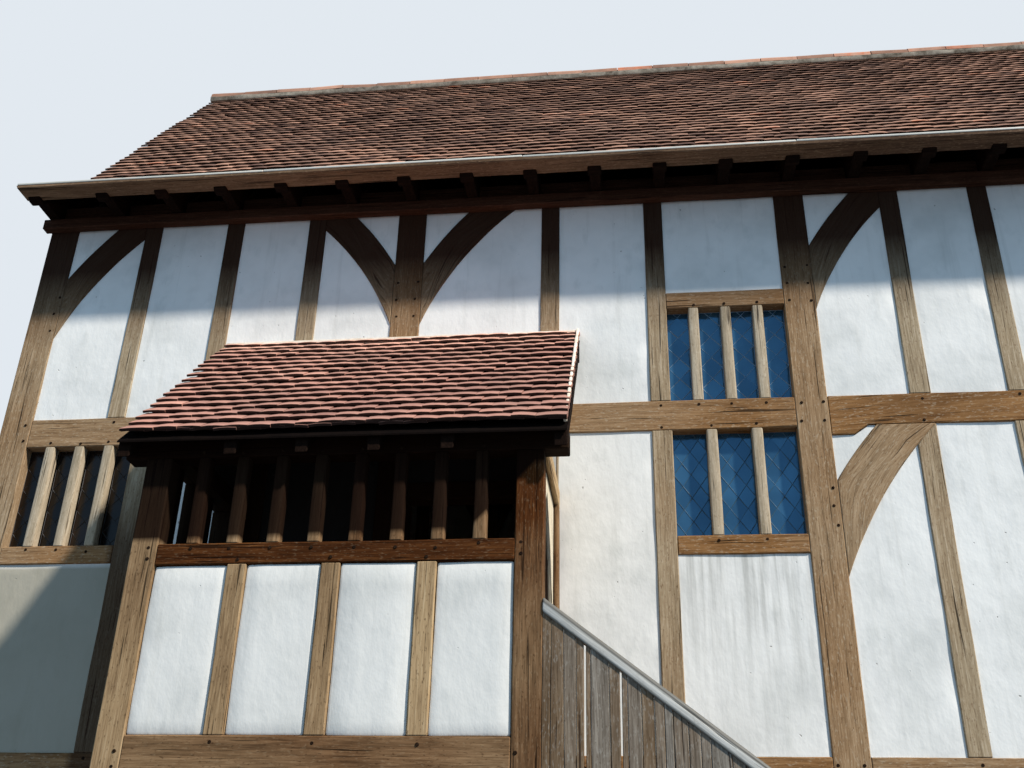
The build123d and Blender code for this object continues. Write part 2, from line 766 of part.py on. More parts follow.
# Porch roof in cross section, Y from the house wall outwards being negative
rafter_vertical = porch_rafter_depth / math.cos(porch_pitch)
porch_foot = -porch_depth - porch_foot_reach
foot_drop = porch_foot_reach * porch_rise
porch_seat = -porch_depth + (rafter_vertical - porch_rafter_stand) / porch_rise
porch_rafter_section = [
    (porch_foot, porch_under_at_front - rafter_vertical - foot_drop),
    (-porch_depth, porch_under_at_front - rafter_vertical),
    (-porch_depth, porch_plate_top),
    (porch_seat, porch_plate_top),
    (-ledger_depth, ledger_top - rafter_vertical),
    (-ledger_depth, ledger_top),
    (porch_foot, porch_under_at_front - foot_drop),
]
porch_eave = -porch_depth - porch_eave_overhang
porch_eave_under = porch_under_at_front - porch_eave_overhang * porch_rise
porch_slope_section = [
    (porch_eave, porch_eave_under),
    (0.0, porch_under_at_wall),
    (0.0, porch_under_at_wall + porch_tile_drop),
    (porch_eave, porch_eave_under + porch_tile_drop),
]
porch_roof_left = porch_left - porch_verge
porch_roof_right = porch_right + porch_verge
add("porch_roof", [along_front(porch_slope_section, porch_roof_left, porch_roof_right)])
add("porch_plates", [block(
    (porch_roof_left, -ledger_depth, ledger_bottom),
    (porch_roof_right, 0.0, ledger_top),
)])
rafter_lefts = [porch_roof_left, porch_roof_right - porch_rafter_width]
rafter_lefts += [left for left, _ in spread(clear_left, clear_right, porch_inner_rafters, porch_rafter_width)]
for left in sorted(rafter_lefts):
    add("porch_rafters", [along_front(porch_rafter_section, left, left + porch_rafter_width)])

# Stair along the front wall, falling to the right from the landing
rise = landing_level / riser_count
stair_slope = rise / going
tread_count = riser_count - 1
stair_foot = porch_right + tread_count * going
string_end = stair_foot + nosing
outer_string_front = -porch_depth + board_thickness
outer_string_back = outer_string_front + string_thickness
stair_front = Plane(origin=(porch_right, 0, 0), x_dir=(1, 0, 0), z_dir=(0, -1, 0))
run = string_end - porch_right


def below_nosings(distance, offset):
    return landing_level - stair_slope * distance + offset


string_meets_ground = (landing_level - string_below_nosings) / stair_slope
string_outline = outline(
    (0.0, below_nosings(0.0, string_above_nosings)),
    (run, below_nosings(run, string_above_nosings)),
    (run, 0.0),
    (min(string_meets_ground, run - shortest_span), 0.0),
    (0.0, below_nosings(0.0, -string_below_nosings)),
)
add("stair_strings", thicken(stair_front, string_outline, outer_string_front, outer_string_back))
wall_string = thicken(stair_front, string_outline, -string_thickness, 0.0)[0]
add("stair_strings", [wall_string - front_plinth])
for step in range(1, riser_count):
    top = step * rise
    back = porch_right + (tread_count - step) * going
    step_front = back + going
    seat = riser_thickness if step < tread_count else 0.0
    add("stair_treads", [block(
        (back - seat, outer_string_back, top - tread_thickness),
        (step_front + nosing, -string_thickness, top),
    )])
    add("stair_risers", [block(
        (step_front - riser_thickness, outer_string_back, top - rise),
        (step_front, -string_thickness, top - tread_thickness),
    )])

# Handrail, boarding under it and the newel at the foot
rail_top = handrail_rise
rail_bottom = handrail_rise - handrail_height
rail_outline = outline(
    (0.0, below_nosings(0.0, rail_top)),
    (run, below_nosings(run, rail_top)),
    (run, below_nosings(run, rail_bottom)),
    (0.0, below_nosings(0.0, rail_bottom)),
)
rail_front = -porch_depth - handrail_proud
handrail = thicken(stair_front, rail_outline, rail_front, rail_front + handrail_width)[0]
rail_length = run / math.cos(math.atan(stair_slope))
sloping = [edge for edge in handrail.edges() if abs(edge.length - rail_length) < shortest_span]
top_edges = sorted(sloping, key=lambda edge: edge.center().Z)[-2:]
add("handrail", [fillet(top_edges, handrail_round)])
board_bottom = -string_below_nosings - board_drop
boards_meet_ground = (landing_level + board_bottom - board_ground_gap) / stair_slope
board_outline = outline(
    (0.0, below_nosings(0.0, rail_bottom)),
    (run, below_nosings(run, rail_bottom)),
    (run, board_ground_gap),
    (min(boards_meet_ground, run - shortest_span), board_ground_gap),
    (0.0, below_nosings(0.0, board_bottom)),
)
add("stair_boards", thicken(stair_front, board_outline, -porch_depth, -porch_depth + board_thickness))
newel_middle = (outer_string_front + outer_string_back) / 2
add("newel", [block(
    (string_end, newel_middle - newel_size / 2, 0.0),
    (string_end + newel_size, newel_middle + newel_size / 2, newel_height),
)])

for node, pieces in nodes.items():
    solids = []
    for piece in pieces:
        solids += piece.solids()
    export_step(Compound(solids), f"parts/{node}.step")
print(len(nodes), "nodes,", sum(len(pieces) for pieces in nodes.values()), "pieces")
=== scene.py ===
# %% [markdown]
# # A half timbered house with a covered stair landing
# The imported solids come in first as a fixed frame, in metres: X along the front, Y into the house, Z up.
# Every piece made below sits on that frame and takes its sizes from it.

# %% Load the frame
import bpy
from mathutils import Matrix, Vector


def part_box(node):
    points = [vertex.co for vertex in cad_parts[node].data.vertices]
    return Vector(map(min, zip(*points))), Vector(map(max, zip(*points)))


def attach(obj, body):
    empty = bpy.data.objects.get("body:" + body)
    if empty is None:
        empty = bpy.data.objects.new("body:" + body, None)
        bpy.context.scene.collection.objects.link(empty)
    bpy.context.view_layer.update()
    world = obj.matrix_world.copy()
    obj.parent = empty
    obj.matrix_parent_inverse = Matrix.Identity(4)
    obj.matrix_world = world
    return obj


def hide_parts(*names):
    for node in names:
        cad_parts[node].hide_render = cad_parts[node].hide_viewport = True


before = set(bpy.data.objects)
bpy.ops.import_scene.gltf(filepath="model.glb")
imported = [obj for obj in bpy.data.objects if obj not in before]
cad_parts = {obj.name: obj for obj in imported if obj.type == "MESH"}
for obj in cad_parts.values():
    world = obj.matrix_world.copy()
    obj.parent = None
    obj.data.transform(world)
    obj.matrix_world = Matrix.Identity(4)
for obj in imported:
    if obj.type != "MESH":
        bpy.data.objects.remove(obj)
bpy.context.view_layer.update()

import math

import bpy
import numpy as np
from mathutils import Matrix, Vector

# %% Places on the frame
front_face, rear_face = 0.0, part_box("main_posts")[1].y
house_middle = rear_face / 2
end_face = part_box("end_studs")[1].x
porch_post_low, porch_post_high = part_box("porch_posts")
porch_middle = (porch_post_low.x + porch_post_high.x) / 2
porch_face = porch_post_low.y
print("rear face", rear_face, "end face", end_face, "porch face", porch_face, "porch middle", porch_middle)

# %% [markdown]
# Operators act on everything that is selected, and a loaded frame is selected all over.
# So a few small helpers come first: one selects chosen objects alone, another opens a mesh for editing with
# just the chosen vertices, edges or faces picked out, and the others add, settle or join simple shapes.

# %% Selecting and editing
def only(*pieces):
    """Selects these objects and nothing else, the first of them active, so that operators act on them."""
    bpy.ops.object.select_all(action="DESELECT")
    for piece in pieces:
        piece.select_set(True)
    bpy.context.view_layer.objects.active = pieces[0]


def open_edit(piece, kind="VERT", chosen=None):
    """Opens a mesh for editing with the chosen vertices, edges or faces selected, or all of them."""
    only(piece)
    elements = {"VERT": piece.data.vertices, "EDGE": piece.data.edges, "FACE": piece.data.polygons}
    bpy.context.tool_settings.mesh_select_mode = tuple(name == kind for name in elements)
    if chosen is not None:
        for members in elements.values():
            members.foreach_set("select", np.zeros(len(members), bool))
        elements[kind].foreach_set("select", np.asarray(chosen, bool))
    bpy.ops.object.mode_set(mode="EDIT")
    if chosen is None:
        bpy.ops.mesh.select_all(action="SELECT")


def close_edit():
    """Goes back from the mesh to the object."""
    bpy.ops.object.mode_set(mode="OBJECT")


def start_from(primitive, name, **settings):
    """Adds a primitive by its operator, with nothing else selected, and names it."""
    bpy.ops.object.select_all(action="DESELECT")
    primitive(**settings)
    bpy.context.object.name = name
    return bpy.context.object


def keep_in_mesh(piece):
    """Moves an object's place, turn and size into its mesh, so that the object sits at the origin."""
    only(piece)
    bpy.ops.object.transform_apply(location=True, rotation=True, scale=True)


def joined(pieces, name):
    """Joins pieces into the first of them and names it."""
    only(*pieces)
    bpy.ops.object.join()
    pieces[0].name = name
    return pieces[0]


def corners_of(piece):
    """The places of a piece's vertices, one row each."""
    places = np.zeros(len(piece.data.vertices) * 3)
    piece.data.vertices.foreach_get("co", places)
    return places.reshape(-1, 3)


# %% [markdown]
# Modifiers do what a hand would do last: round the edges, give a sheet its wall, push a face in and out.
# They are applied at once, so that the piece is its final mesh from then on.

# %% Modifiers
def shape(piece, kind, **settings):
    """Adds a modifier with its settings and applies it."""
    only(piece)
    modifier = piece.modifiers.new(kind, kind)
    for name, value in settings.items():
        setattr(modifier, name, value)
    bpy.ops.object.modifier_apply(modifier=modifier.name)


def round_edges(piece, width, segments=1, sharper_than=30):
    """Rounds every edge that turns by more than so many degrees."""
    shape(piece, "BEVEL", width=width, segments=segments, limit_method="ANGLE",
          angle_limit=math.radians(sharper_than))


def waves(name, size):
    """A cloud texture with humps of about this size in metres."""
    texture = bpy.data.textures.new(name, "CLOUDS")
    texture.noise_scale = size
    return texture


def push_about(piece, texture, height):
    """Pushes the faces in and out by a texture, over so many metres in all."""
    shape(piece, "DISPLACE", texture=texture, strength=height, mid_level=0.5, texture_coords="LOCAL")


# %% [markdown]
# A colour is written as it is seen on a screen, and the shader wants it linear. One helper adds any shader
# node. The others below it put several nodes together: a product, a distance, coats of colour, a noise that
# is stretched along a timber or down a wall, and the end of every finish.

# %% Colours and shader nodes
def linear(code):
    """The linear colour of an sRGB hex code."""
    shares = [int(code[i:i + 2], 16) / 255 for i in (1, 3, 5)]
    return tuple(s / 12.92 if s <= 0.04045 else ((s + 0.055) / 1.055) ** 2.4 for s in shares) + (1.0,)


def add(tree, kind, *values, inputs=None, stops=(), out=0, **settings):
    """Adds one node and gives back one of its outputs.

    Values fill its sockets in order and inputs fill them by name or number. Each is a number, a colour or
    another node's output. Stops are a ramp's places and colours, and the rest are settings of the node."""
    made = tree.nodes.new("ShaderNode" + kind)
    for name, value in settings.items():
        setattr(made, name, value)
    for socket, value in [*enumerate(values), *(inputs or {}).items()]:
        if isinstance(value, bpy.types.NodeSocket):
            tree.links.new(value, made.inputs[socket])
        else:
            made.inputs[socket].default_value = linear(value) if isinstance(value, str) else value
    for _ in range(len(stops) - 2):
        made.color_ramp.elements.new(0.5)
    for i, (place, colour) in enumerate(stops):
        made.color_ramp.elements[i].position = place
        made.color_ramp.elements[i].color = linear(colour)
    return made.outputs[out] if made.outputs else None


def times(tree, first, *others):
    """The product of several shares."""
    for other in others:
        first = add(tree, "Math", first, other, operation="MULTIPLY")
    return first


def largest(tree, first, *others):
    """The largest of several shares."""
    for other in others:
        first = add(tree, "Math", first, other, operation="MAXIMUM")
    return first


def away_from(tree, value, middle):
    """How far a value lies from a middle, either way."""
    apart = add(tree, "Math", value, middle, operation="SUBTRACT")
    return add(tree, "Math", apart, operation="ABSOLUTE")


def layered(tree, colour, *coats):
    """A colour under several coats, each given by its share and its colour."""
    for share, over in coats:
        colour = add(tree, "Mix", inputs={0: share, 6: colour, 7: over}, data_type="RGBA", out=2)
    return colour


def stretched_noise(tree, source, scale, detail, roughness):
    """Noise with its own number of waves to the metre each way."""
    stretched = add(tree, "Mapping", inputs={"Vector": source, "Scale": scale})
    return add(tree, "TexNoise", inputs={"Vector": stretched, "Scale": 1.0, "Detail": detail,
                                         "Roughness": roughness})


def new_material(name):
    """An empty node tree for a finish, and the finish."""
    material = bpy.data.materials.new(name)
    material.use_nodes = True
    material.node_tree.nodes.clear()
    return material, material.node_tree


def close_finish(tree, colour, relief, strength, depth, optics):
    """Ends a finish: its colour, a bump of so many metres from its relief, and how it takes the light."""
    bump = add(tree, "Bump", inputs={"Height": relief, "Strength": strength, "Distance": depth})
    shader = add(tree, "BsdfPrincipled", inputs={"Base Color": colour, "Normal": bump, **optics})
    add(tree, "OutputMaterial", shader)


# %% [markdown]
# ## Camera
# The picture was taken from low down, with the lens tipped up about 27 degrees and turned a little left.
# The lens, the tip and the turn were worked out from the vanishing directions of the timbers.

# %% Camera
lens_mm, sensor_mm = 38.42, 36
camera_place = Vector((-1.38, -8.0, 1.6))
tip, turn, roll = math.radians(27.14), math.radians(-7.261), math.radians(1.452)

ahead = Vector((math.sin(turn) * math.cos(tip), math.cos(turn) * math.cos(tip), math.sin(tip)))
level_right = Vector((math.cos(turn), -math.sin(turn), 0))
level_up = level_right.cross(ahead)
right = math.cos(roll) * level_right + math.sin(roll) * level_up
up = math.cos(roll) * level_up - math.sin(roll) * level_right

camera = bpy.data.objects.new("camera", bpy.data.cameras.new("camera"))
camera.data.lens = lens_mm
camera.data.sensor_width = sensor_mm
camera.data.clip_end = 500
camera.matrix_world = Matrix.LocRotScale(camera_place, Matrix((right, up, -ahead)).transposed(), None)
bpy.context.scene.collection.objects.link(camera)
bpy.context.scene.camera = camera
print("camera", tuple(camera_place), "lens", lens_mm)

# %% [markdown]
# ## Floor and light
# A plain pale floor, a pale backdrop and one lamp on the right. The eave's shadow on the wall gives its
# height, and the porch's shadow on the panel to its left gives its turn. The fill is blue, because shade is
# lit by blue light out of doors. The pale backdrop is only what the camera sees.

# %% Floor
bpy.context.scene.view_settings.view_transform = "Standard"

floor = start_from(bpy.ops.mesh.primitive_plane_add, "floor", size=400)
floor_paint, tree = new_material("pale floor")
seen = add(tree, "LightPath", out="Is Camera Ray")
tint = layered(tree, "#6f7276", (seen, "#cacccf"))
add(tree, "OutputMaterial", add(tree, "BsdfDiffuse", tint))
floor.data.materials.append(floor_paint)

# %% Lamp and backdrop
lamp = bpy.data.objects.new("lamp", bpy.data.lights.new("lamp", "SUN"))
lamp_turn, lamp_height = math.radians(57), math.radians(43)
towards = Vector((math.sin(lamp_turn) * math.cos(lamp_height), -math.cos(lamp_turn) * math.cos(lamp_height),
                  math.sin(lamp_height)))
lamp.rotation_euler = towards.to_track_quat("Z", "Y").to_euler()
lamp.data.energy = 5.0
lamp.data.angle = math.radians(3)
lamp.data.color = linear("#fff8ee")[:3]
bpy.context.scene.collection.objects.link(lamp)

world = bpy.data.worlds.new("studio")
world.use_nodes = True
bpy.context.scene.world = world
tree = world.node_tree
tree.nodes.clear()
seen = add(tree, "LightPath", out="Is Camera Ray")
fill = add(tree, "Background", "#aad7ff", 0.58)
backdrop = add(tree, "Background", "#e2e9f0", 1.0)
add(tree, "OutputWorld", add(tree, "MixShader", seen, fill, backdrop))
print("lamp from", [round(v, 2) for v in towards])

# %% [markdown]
# ## Oak
# The frame is hewn green oak: honey brown where it is sheltered, silver tan where rain and sun reach it,
# with grain along each timber, dark drying checks and pale flecks. A pattern on plain Object coordinates
# would run the same way through every timber, so each vertex carries its place in its own timber: along,
# across, through. That "grain" attribute and one "tone" number for each timber feed a single family of
# finishes.

# %% Oak
def oak(name, warm, silver, shelter_and_shade=None, smoked_and_shaded="#2f1c14", dark="#150c08", fleck=0.4, gloss=0.06,
        rough=0.9):
    """Oak in two weathers, each deep, middle and pale. A shelter share is painted smoked: oak that stayed
    dark, and painted shade.
    """
    material, tree = new_material(name)
    grain = add(tree, "Attribute", attribute_name="grain", out="Vector")
    tone = add(tree, "Attribute", attribute_name="tone", out="Fac")
    place = add(tree, "TexCoord", out="Object")

    def along_grain(scale, detail):
        return stretched_noise(tree, grain, scale, detail, 0.62)

    figure = along_grain((0.9, 24, 24), 6.0)      # growth rings, about 40 mm apart on a sawn face
    fibre = along_grain((5, 95, 95), 3.0)         # fibres are finer; drawn 10 mm apart to show
    lines = add(tree, "Mix", inputs={0: 0.55, 2: figure, 3: fibre}, data_type="FLOAT")
    brown, grey = (add(tree, "ValToRGB", lines, stops=list(zip((0.30, 0.52, 0.72), tones)))
                   for tones in (warm, silver))
    patches = stretched_noise(tree, place, (0.8, 0.8, 0.8), 2.0, 0.62)
    weather = add(tree, "Math", patches, 1.1, -0.55, operation="MULTIPLY_ADD")
    weather = add(tree, "Math", weather, tone, operation="ADD")
    flecks = add(tree, "MapRange", along_grain((26, 80, 80), 2.0), 0.56, 0.69, 0.0, fleck)
    specks = add(tree, "MapRange", along_grain((32, 75, 75), 2.0), 0.60, 0.70, 0.0, 0.5)
    checks = add(tree, "MapRange", along_grain((1.1, 42, 42), 2.5), 0.62, 0.67, 0.0, 0.8)
    colour = layered(
        tree, brown,
        (add(tree, "MapRange", weather, 0.0, 1.0), grey),
        (add(tree, "MapRange", weather, -1.0, 0.0, 1.0, 0.0), smoked_and_shaded),
        (flecks, silver[2]), (specks, warm[0]), (checks, dark),
    )
    # Painted shade: the shelter function's share of the colour is painted in the smoked colour.
    if shelter_and_shade:
        x, y, z = (add(tree, "SeparateXYZ", place, out=axis) for axis in "XYZ")
        colour = layered(tree, colour, (shelter_and_shade(tree, x, y, z), smoked_and_shaded))

    relief = add(tree, "Math", lines, checks, operation="SUBTRACT")
    roughness = add(tree, "MapRange", lines, 0.3, 0.7, rough, rough * 0.8)
    close_finish(tree, colour, relief, 0.5, 0.006,
                 {"Roughness": roughness, "IOR": 1.5, "Specular IOR Level": gloss})
    return material


# %% [markdown]
# Some of the oak is painted dark by place. Under the main eave the oak stayed brown, and the eave's shade is
# painted over it as well. Behind the landing, to its left and inside the porch the dark is painted shade, and
# on the porch's front it is a painted shadow of its roof. Each such place is a small function that gives a
# share from 0 to 1. It is made of Map Range nodes on the place in metres, a range for each side, multiplied
# together. Separate darker materials would end in a hard line at a timber's edge, and here the shade ends
# where the roof's cover ends.

# %% Where the oak is painted dark
def behind_porch(tree, x, y, z):
    """The part of the front wall behind the landing and its roof, painted dark: painted shade of the porch's
    inside.
    """
    return times(
        tree,
        add(tree, "MapRange", away_from(tree, x, porch_middle), 1.34, 1.37, 0.97, 0.0),
        add(tree, "MapRange", y, -1.2, -1.1),
        add(tree, "MapRange", y, 0.24, 0.28, 1.0, 0.0),
        add(tree, "MapRange", z, 2.7, 2.8),
        add(tree, "MapRange", z, 6.1, 6.15, 1.0, 0.0),
    )


def under_eave(tree, x, y, z):
    """Under the eaves the oak stayed brown and the eave's shade is painted on; round the porch, painted
    shade.
    """
    eave = times(
        tree,
        add(tree, "MapRange", z, 6.2, 7.05, 0.0, 0.96),
        add(tree, "MapRange", away_from(tree, y, house_middle), 2.5, 2.6),
    )
    # A painted shadow of the porch on the timbers to its left.
    porch_shadow_on_oak = times(
        tree,
        add(tree, "MapRange", x, -5.66, -5.6, 0.0, 0.75),
        add(tree, "MapRange", x, -4.75, -4.7, 1.0, 0.0),
        add(tree, "MapRange", z, 4.4, 5.1, 1.0, 0.0),
        add(tree, "MapRange", y, 0.24, 0.28, 1.0, 0.0),
    )
    return largest(tree, eave, porch_shadow_on_oak, behind_porch(tree, x, y, z))


def under_porch(tree, x, y, z):
    """The landing: painted shade inside, and in front a painted shadow of its roof above a line that climbs
    right.
    """
    rail_top, plate_shade, roof_foot = 3.925, 4.42, 4.78
    slow_climb = add(tree, "MapRange", x, -4.8, -2.484, 0.0, 0.045)
    climb = add(tree, "MapRange", x, -2.484, -1.84, slow_climb, 0.74)
    over_climb = add(tree, "Math", z, climb, operation="SUBTRACT")
    above = largest(
        tree,
        add(tree, "MapRange", over_climb, rail_top, rail_top + 0.04, 0.0, 0.96),
        add(tree, "MapRange", z, plate_shade, plate_shade + 0.05, 0.0, 0.94),
    )
    covered = largest(
        tree,
        add(tree, "MapRange", y, -1.2, -1.17, 1.0, 0.0),
        add(tree, "MapRange", x, -2.035, -2.02, 1.0, 0.0),
        add(tree, "MapRange", z, roof_foot, roof_foot + 0.02),
    )
    return largest(tree, times(tree, above, covered), behind_porch(tree, x, y, z))


def inside_porch(tree, x, y, z):
    """All but the outer faces of the porch's sides, where the porch's inside is painted as shade."""
    return add(tree, "MapRange", away_from(tree, x, porch_middle), 1.31, 1.325, 0.96, 0.0)


# %% The oak finishes
finishes = {
    "oak_frame": oak("hewn oak", ("#5a391c", "#926a42", "#b48a5c"), ("#7b6a52", "#ab987c", "#cfc0a7"),
                     under_eave, fleck=0.34),
    "bleached": oak("bleached oak", ("#84725a", "#b5a288", "#d2c4ab"), ("#8c8069", "#bbab92", "#d8ccb6"),
                    under_eave),
    "oak_inside": oak("sheltered oak", ("#2e1f15", "#4d3725", "#6b4e35"), ("#3a2b1f", "#57432f", "#77604a")),
    # Under the eave the wall plates are dark oak, and sprockets, porch rafters and gutter brackets near
    # black: partly oak that stayed dark, partly painted shade of the deep eave.
    "oak_eave": oak("dark oak", ("#281811", "#412a1f", "#583c2e"), ("#2e2018", "#483226", "#5f4637"),
                    gloss=0.03),
    "sprocket_oak": oak("dark sawn oak", ("#0f0907", "#1a110c", "#271a13"), ("#120b08", "#1e140f", "#2c1e17"),
                        gloss=0.03),
    "gutter_oak": oak("gutter oak", ("#2a1c14", "#47332a", "#654b3a"), ("#50402f", "#80664e", "#a3886d")),
    # The porch oak's near black smoked colour is painted shade and the painted shadow of the porch roof.
    "oak_porch": oak("porch oak", ("#2a1407", "#573218", "#83552e"), ("#7e6549", "#b89c76", "#d3be9a"),
                     under_porch, smoked_and_shaded="#170c08", dark="#0d0705", fleck=0.1, gloss=0.03),
    # The arch oak is painted dark inside the porch: painted shade.
    "limed_oak": oak("limed oak", ("#ab9878", "#d8cbb0", "#ebe1cc"), ("#b6a68a", "#dfd4bc", "#eee6d4"),
                     inside_porch, fleck=0.1),
    "oak_weathered": oak("weathered oak", ("#4a3826", "#77634d", "#97846c"),
                         ("#585249", "#827c73", "#a8a399"), dark="#2a1d15"),
}
print("finishes", sorted(finishes))

# %% [markdown]
# ## The timbers
# The solids have knife sharp edges, and hewn timber doesn't. Each oak node is copied, its triangles are
# merged back to flat faces, its edges are worn by a bevel, and its long edges are divided so that slow
# waves can push the faces a few millimetres in and out, as an axe leaves them. Timbers built anew would
# have to be fitted to the frame, and a bump alone would leave the edges straight.

# %% Helpers for timbers
def copy_of(node, name):
    """A copy of a node as a piece of its own, with its triangles merged to flat faces."""
    piece = bpy.data.objects.new(name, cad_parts[node].data.copy())
    piece.data.materials.clear()
    bpy.context.scene.collection.objects.link(piece)
    only(piece)
    if piece.data.has_custom_normals:
        bpy.ops.mesh.customdata_custom_splitnormals_clear()
    open_edit(piece)
    bpy.ops.mesh.remove_doubles(threshold=0.0002)
    bpy.ops.mesh.dissolve_limited(angle_limit=math.radians(0.6))
    close_edit()
    return piece


def divide_long(piece, longest):
    """Halves every edge that is longer than this, until none is, or six times."""
    for _ in range(6):
        places = corners_of(piece)
        ends = np.array([edge.vertices[:] for edge in piece.data.edges])
        long = np.linalg.norm(places[ends[:, 0]] - places[ends[:, 1]], axis=1) > longest
        if not long.any():
            return
        open_edit(piece, "EDGE", long)
        bpy.ops.mesh.subdivide(number_cuts=1)
        close_edit()


def loose_parts(piece):
    """For each vertex, the number of the separate part that it belongs to."""
    ends = np.array([edge.vertices[:] for edge in piece.data.edges])
    part = np.arange(len(piece.data.vertices))
    while True:
        lowest = np.minimum(part[ends[:, 0]], part[ends[:, 1]])
        new = part.copy()
        np.minimum.at(new, ends[:, 0], lowest)
        np.minimum.at(new, ends[:, 1], lowest)
        new = new[new]
        if (new == part).all():
            return part
        part = new


def part_boxes(node):
    """The lowest and highest corner of each separate solid of a node."""
    measured = copy_of(node, "measured")
    places, part = corners_of(measured), loose_parts(measured)
    bpy.data.objects.remove(measured)
    return [(places[part == number].min(0), places[part == number].max(0)) for number in np.unique(part)]


# %% [markdown]
# The grain follows each timber's own length, which is the direction in which its corners spread the most. A
# curved brace was cut from a bent tree, so the curve is taken out of its grain. A random shift keeps any
# two timbers from sharing a pattern.

# %% Grain and finish
def mark(piece, name, kind, values):
    """Writes an attribute on the vertices of a piece."""
    attribute = piece.data.attributes.new(name, kind, "POINT")
    attribute.data.foreach_set("vector" if kind == "FLOAT_VECTOR" else "value",
                               np.asarray(values, float).ravel())


def lay_grain(piece, tone, seed, spread=0.2, drift=(0, 0, 0)):
    """Gives each vertex its place along, across and through its own timber, and each timber its tone.

    The drift is how much the tone gains for each metre to the right, to the rear and up."""
    nearly_straight, fewest_when_curved, furthest_shift = 0.985, 24, 40
    random = np.random.default_rng(seed)
    places, part = corners_of(piece), loose_parts(piece)
    grain, tones = np.zeros_like(places), np.zeros(len(places))
    centre = (places.min(0) + places.max(0)) / 2
    for number in np.unique(part):
        own = np.flatnonzero(part == number)
        middle = (places[own].max(0) + places[own].min(0)) / 2
        spans = places[own].max(0) - places[own].min(0)
        along = np.linalg.eigh(np.cov((places[own] - middle).T))[1][:, 2]
        if np.abs(along).max() > nearly_straight:
            along = np.eye(3)[np.abs(along).argmax()]
        through = np.eye(3)[spans.argmin()]
        through = through - along * (through @ along)
        through = through / np.linalg.norm(through)
        local = (places[own] - middle) @ np.array([along, np.cross(through, along), through]).T
        if len(own) > fewest_when_curved:
            local[:, 1] -= np.polyval(np.polyfit(local[:, 0], local[:, 1], 2), local[:, 0])
        grain[own] = local + random.uniform(-furthest_shift, furthest_shift, 3)
        tones[own] = tone + (places[own] - centre) @ drift + random.uniform(-spread, spread)
    mark(piece, "grain", "FLOAT_VECTOR", grain)
    mark(piece, "tone", "FLOAT", tones)


def settle(piece, slot, material, *nodes):
    """Gives a piece its finish, lets it ride, and hides the nodes that it stands for."""
    only(piece)
    bpy.ops.object.shade_smooth_by_angle(angle=math.radians(24))
    piece.data.materials.clear()
    piece.data.materials.append(material)
    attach(piece, "root")
    if nodes:
        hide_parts(*nodes)
    print(piece.name, len(piece.data.polygons), "faces")


# %% [markdown]
# Each entry says how weathered the timbers of a node are, 0 for warm brown and 1 for silver, and for some
# how much that gains for each metre to the right, to the rear and up. Rails kept their brown, the stair
# went grey.

# %% Dress the timbers
hewn_waves = waves("hewn waves", 0.55)
edge_wear = 0.007
hewing = 0.009

weathering = {
    "main_posts": ("oak_frame", 0.37, (-0.05, 0, 0)), "front_rails": ("oak_frame", 0.12, (-0.04, 0, 0)),
    "rear_rails": ("oak_frame", 0.3), "end_rails": ("oak_frame", 0.3), "front_studs": ("oak_frame", 0.95),
    "rear_studs": ("oak_frame", 0.6), "end_studs": ("oak_frame", 0.6), "wall_braces": ("oak_frame", 0.5),
    "wall_plates": ("oak_eave", 0.2), "tie_beams": ("oak_frame", 0.4), "gable_collars": ("oak_frame", 0.5),
    "window_mullions": ("oak_frame", 0.75), "end_sills": ("oak_frame", 0.5), "long_sills": ("oak_frame", 0.5),
    "cross_beams": ("oak_inside", 0.3), "floor_joists": ("oak_inside", 0.4),
    "floor_boards": ("oak_inside", 0.6), "front_rafters": ("oak_inside", 0.3),
    "rear_rafters": ("oak_inside", 0.3), "sprockets": ("oak_inside", 0.3),
    "porch_posts": ("oak_porch", 0.87, (-0.3, 0.4, -0.15)), "porch_beams": ("oak_porch", 0.22, (0, 0, -0.48)),
    "porch_studs": ("oak_porch", 0.85), "porch_mullions": ("oak_porch", 0.3),
    "porch_plates": ("oak_porch", 0.2), "porch_side_beams": ("oak_porch", 1.0),
    "porch_arch": ("oak_porch", 0.5), "porch_rafters": ("oak_porch", 0.2),
    "stair_strings": ("oak_weathered", 0.4), "stair_treads": ("oak_weathered", 0.5),
    "stair_risers": ("oak_weathered", 0.4), "newel": ("oak_weathered", 0.7),
    "gutters": ("oak_eave", 0.5, (-0.09, 0, 0)),
}
other_finish = {"window_mullions": "bleached", "sprockets": "sprocket_oak", "porch_rafters": "sprocket_oak",
                "gutters": "gutter_oak", "porch_arch": "limed_oak"}
for seed, (node, (slot, tone, *drift)) in enumerate(sorted(weathering.items())):
    piece = copy_of(node, node + "_oak")
    round_edges(piece, edge_wear, sharper_than=35)
    divide_long(piece, 0.5)
    push_about(piece, hewn_waves, hewing)
    lay_grain(piece, tone, seed, drift=drift[0] if drift else (0, 0, 0))
    settle(piece, slot, finishes[other_finish.get(node, slot)], node)

# %% [markdown]
# The glass solids tell where the windows are. Sorted from front to rear, then from left to right and
# upwards, they are the corner window, the hall window below and above its rail, and the same two in the
# rear wall.

# %% Where the windows are
def from_front_left(box):
    """A box's lowest corner to the millimetre, depth first, then length, then height."""
    x, y, z = box[0].round(3)
    return y, x, z


window_names = ("corner", "lower", "upper", "rear_lower", "rear_upper")
windows = {
    name: (low.round(3), high.round(3))
    for name, (low, high) in zip(window_names, sorted(part_boxes("window_glass"), key=from_front_left))
}
for name, (low, high) in windows.items():
    print(name, "window from", low.tolist(), "to", high.tolist())
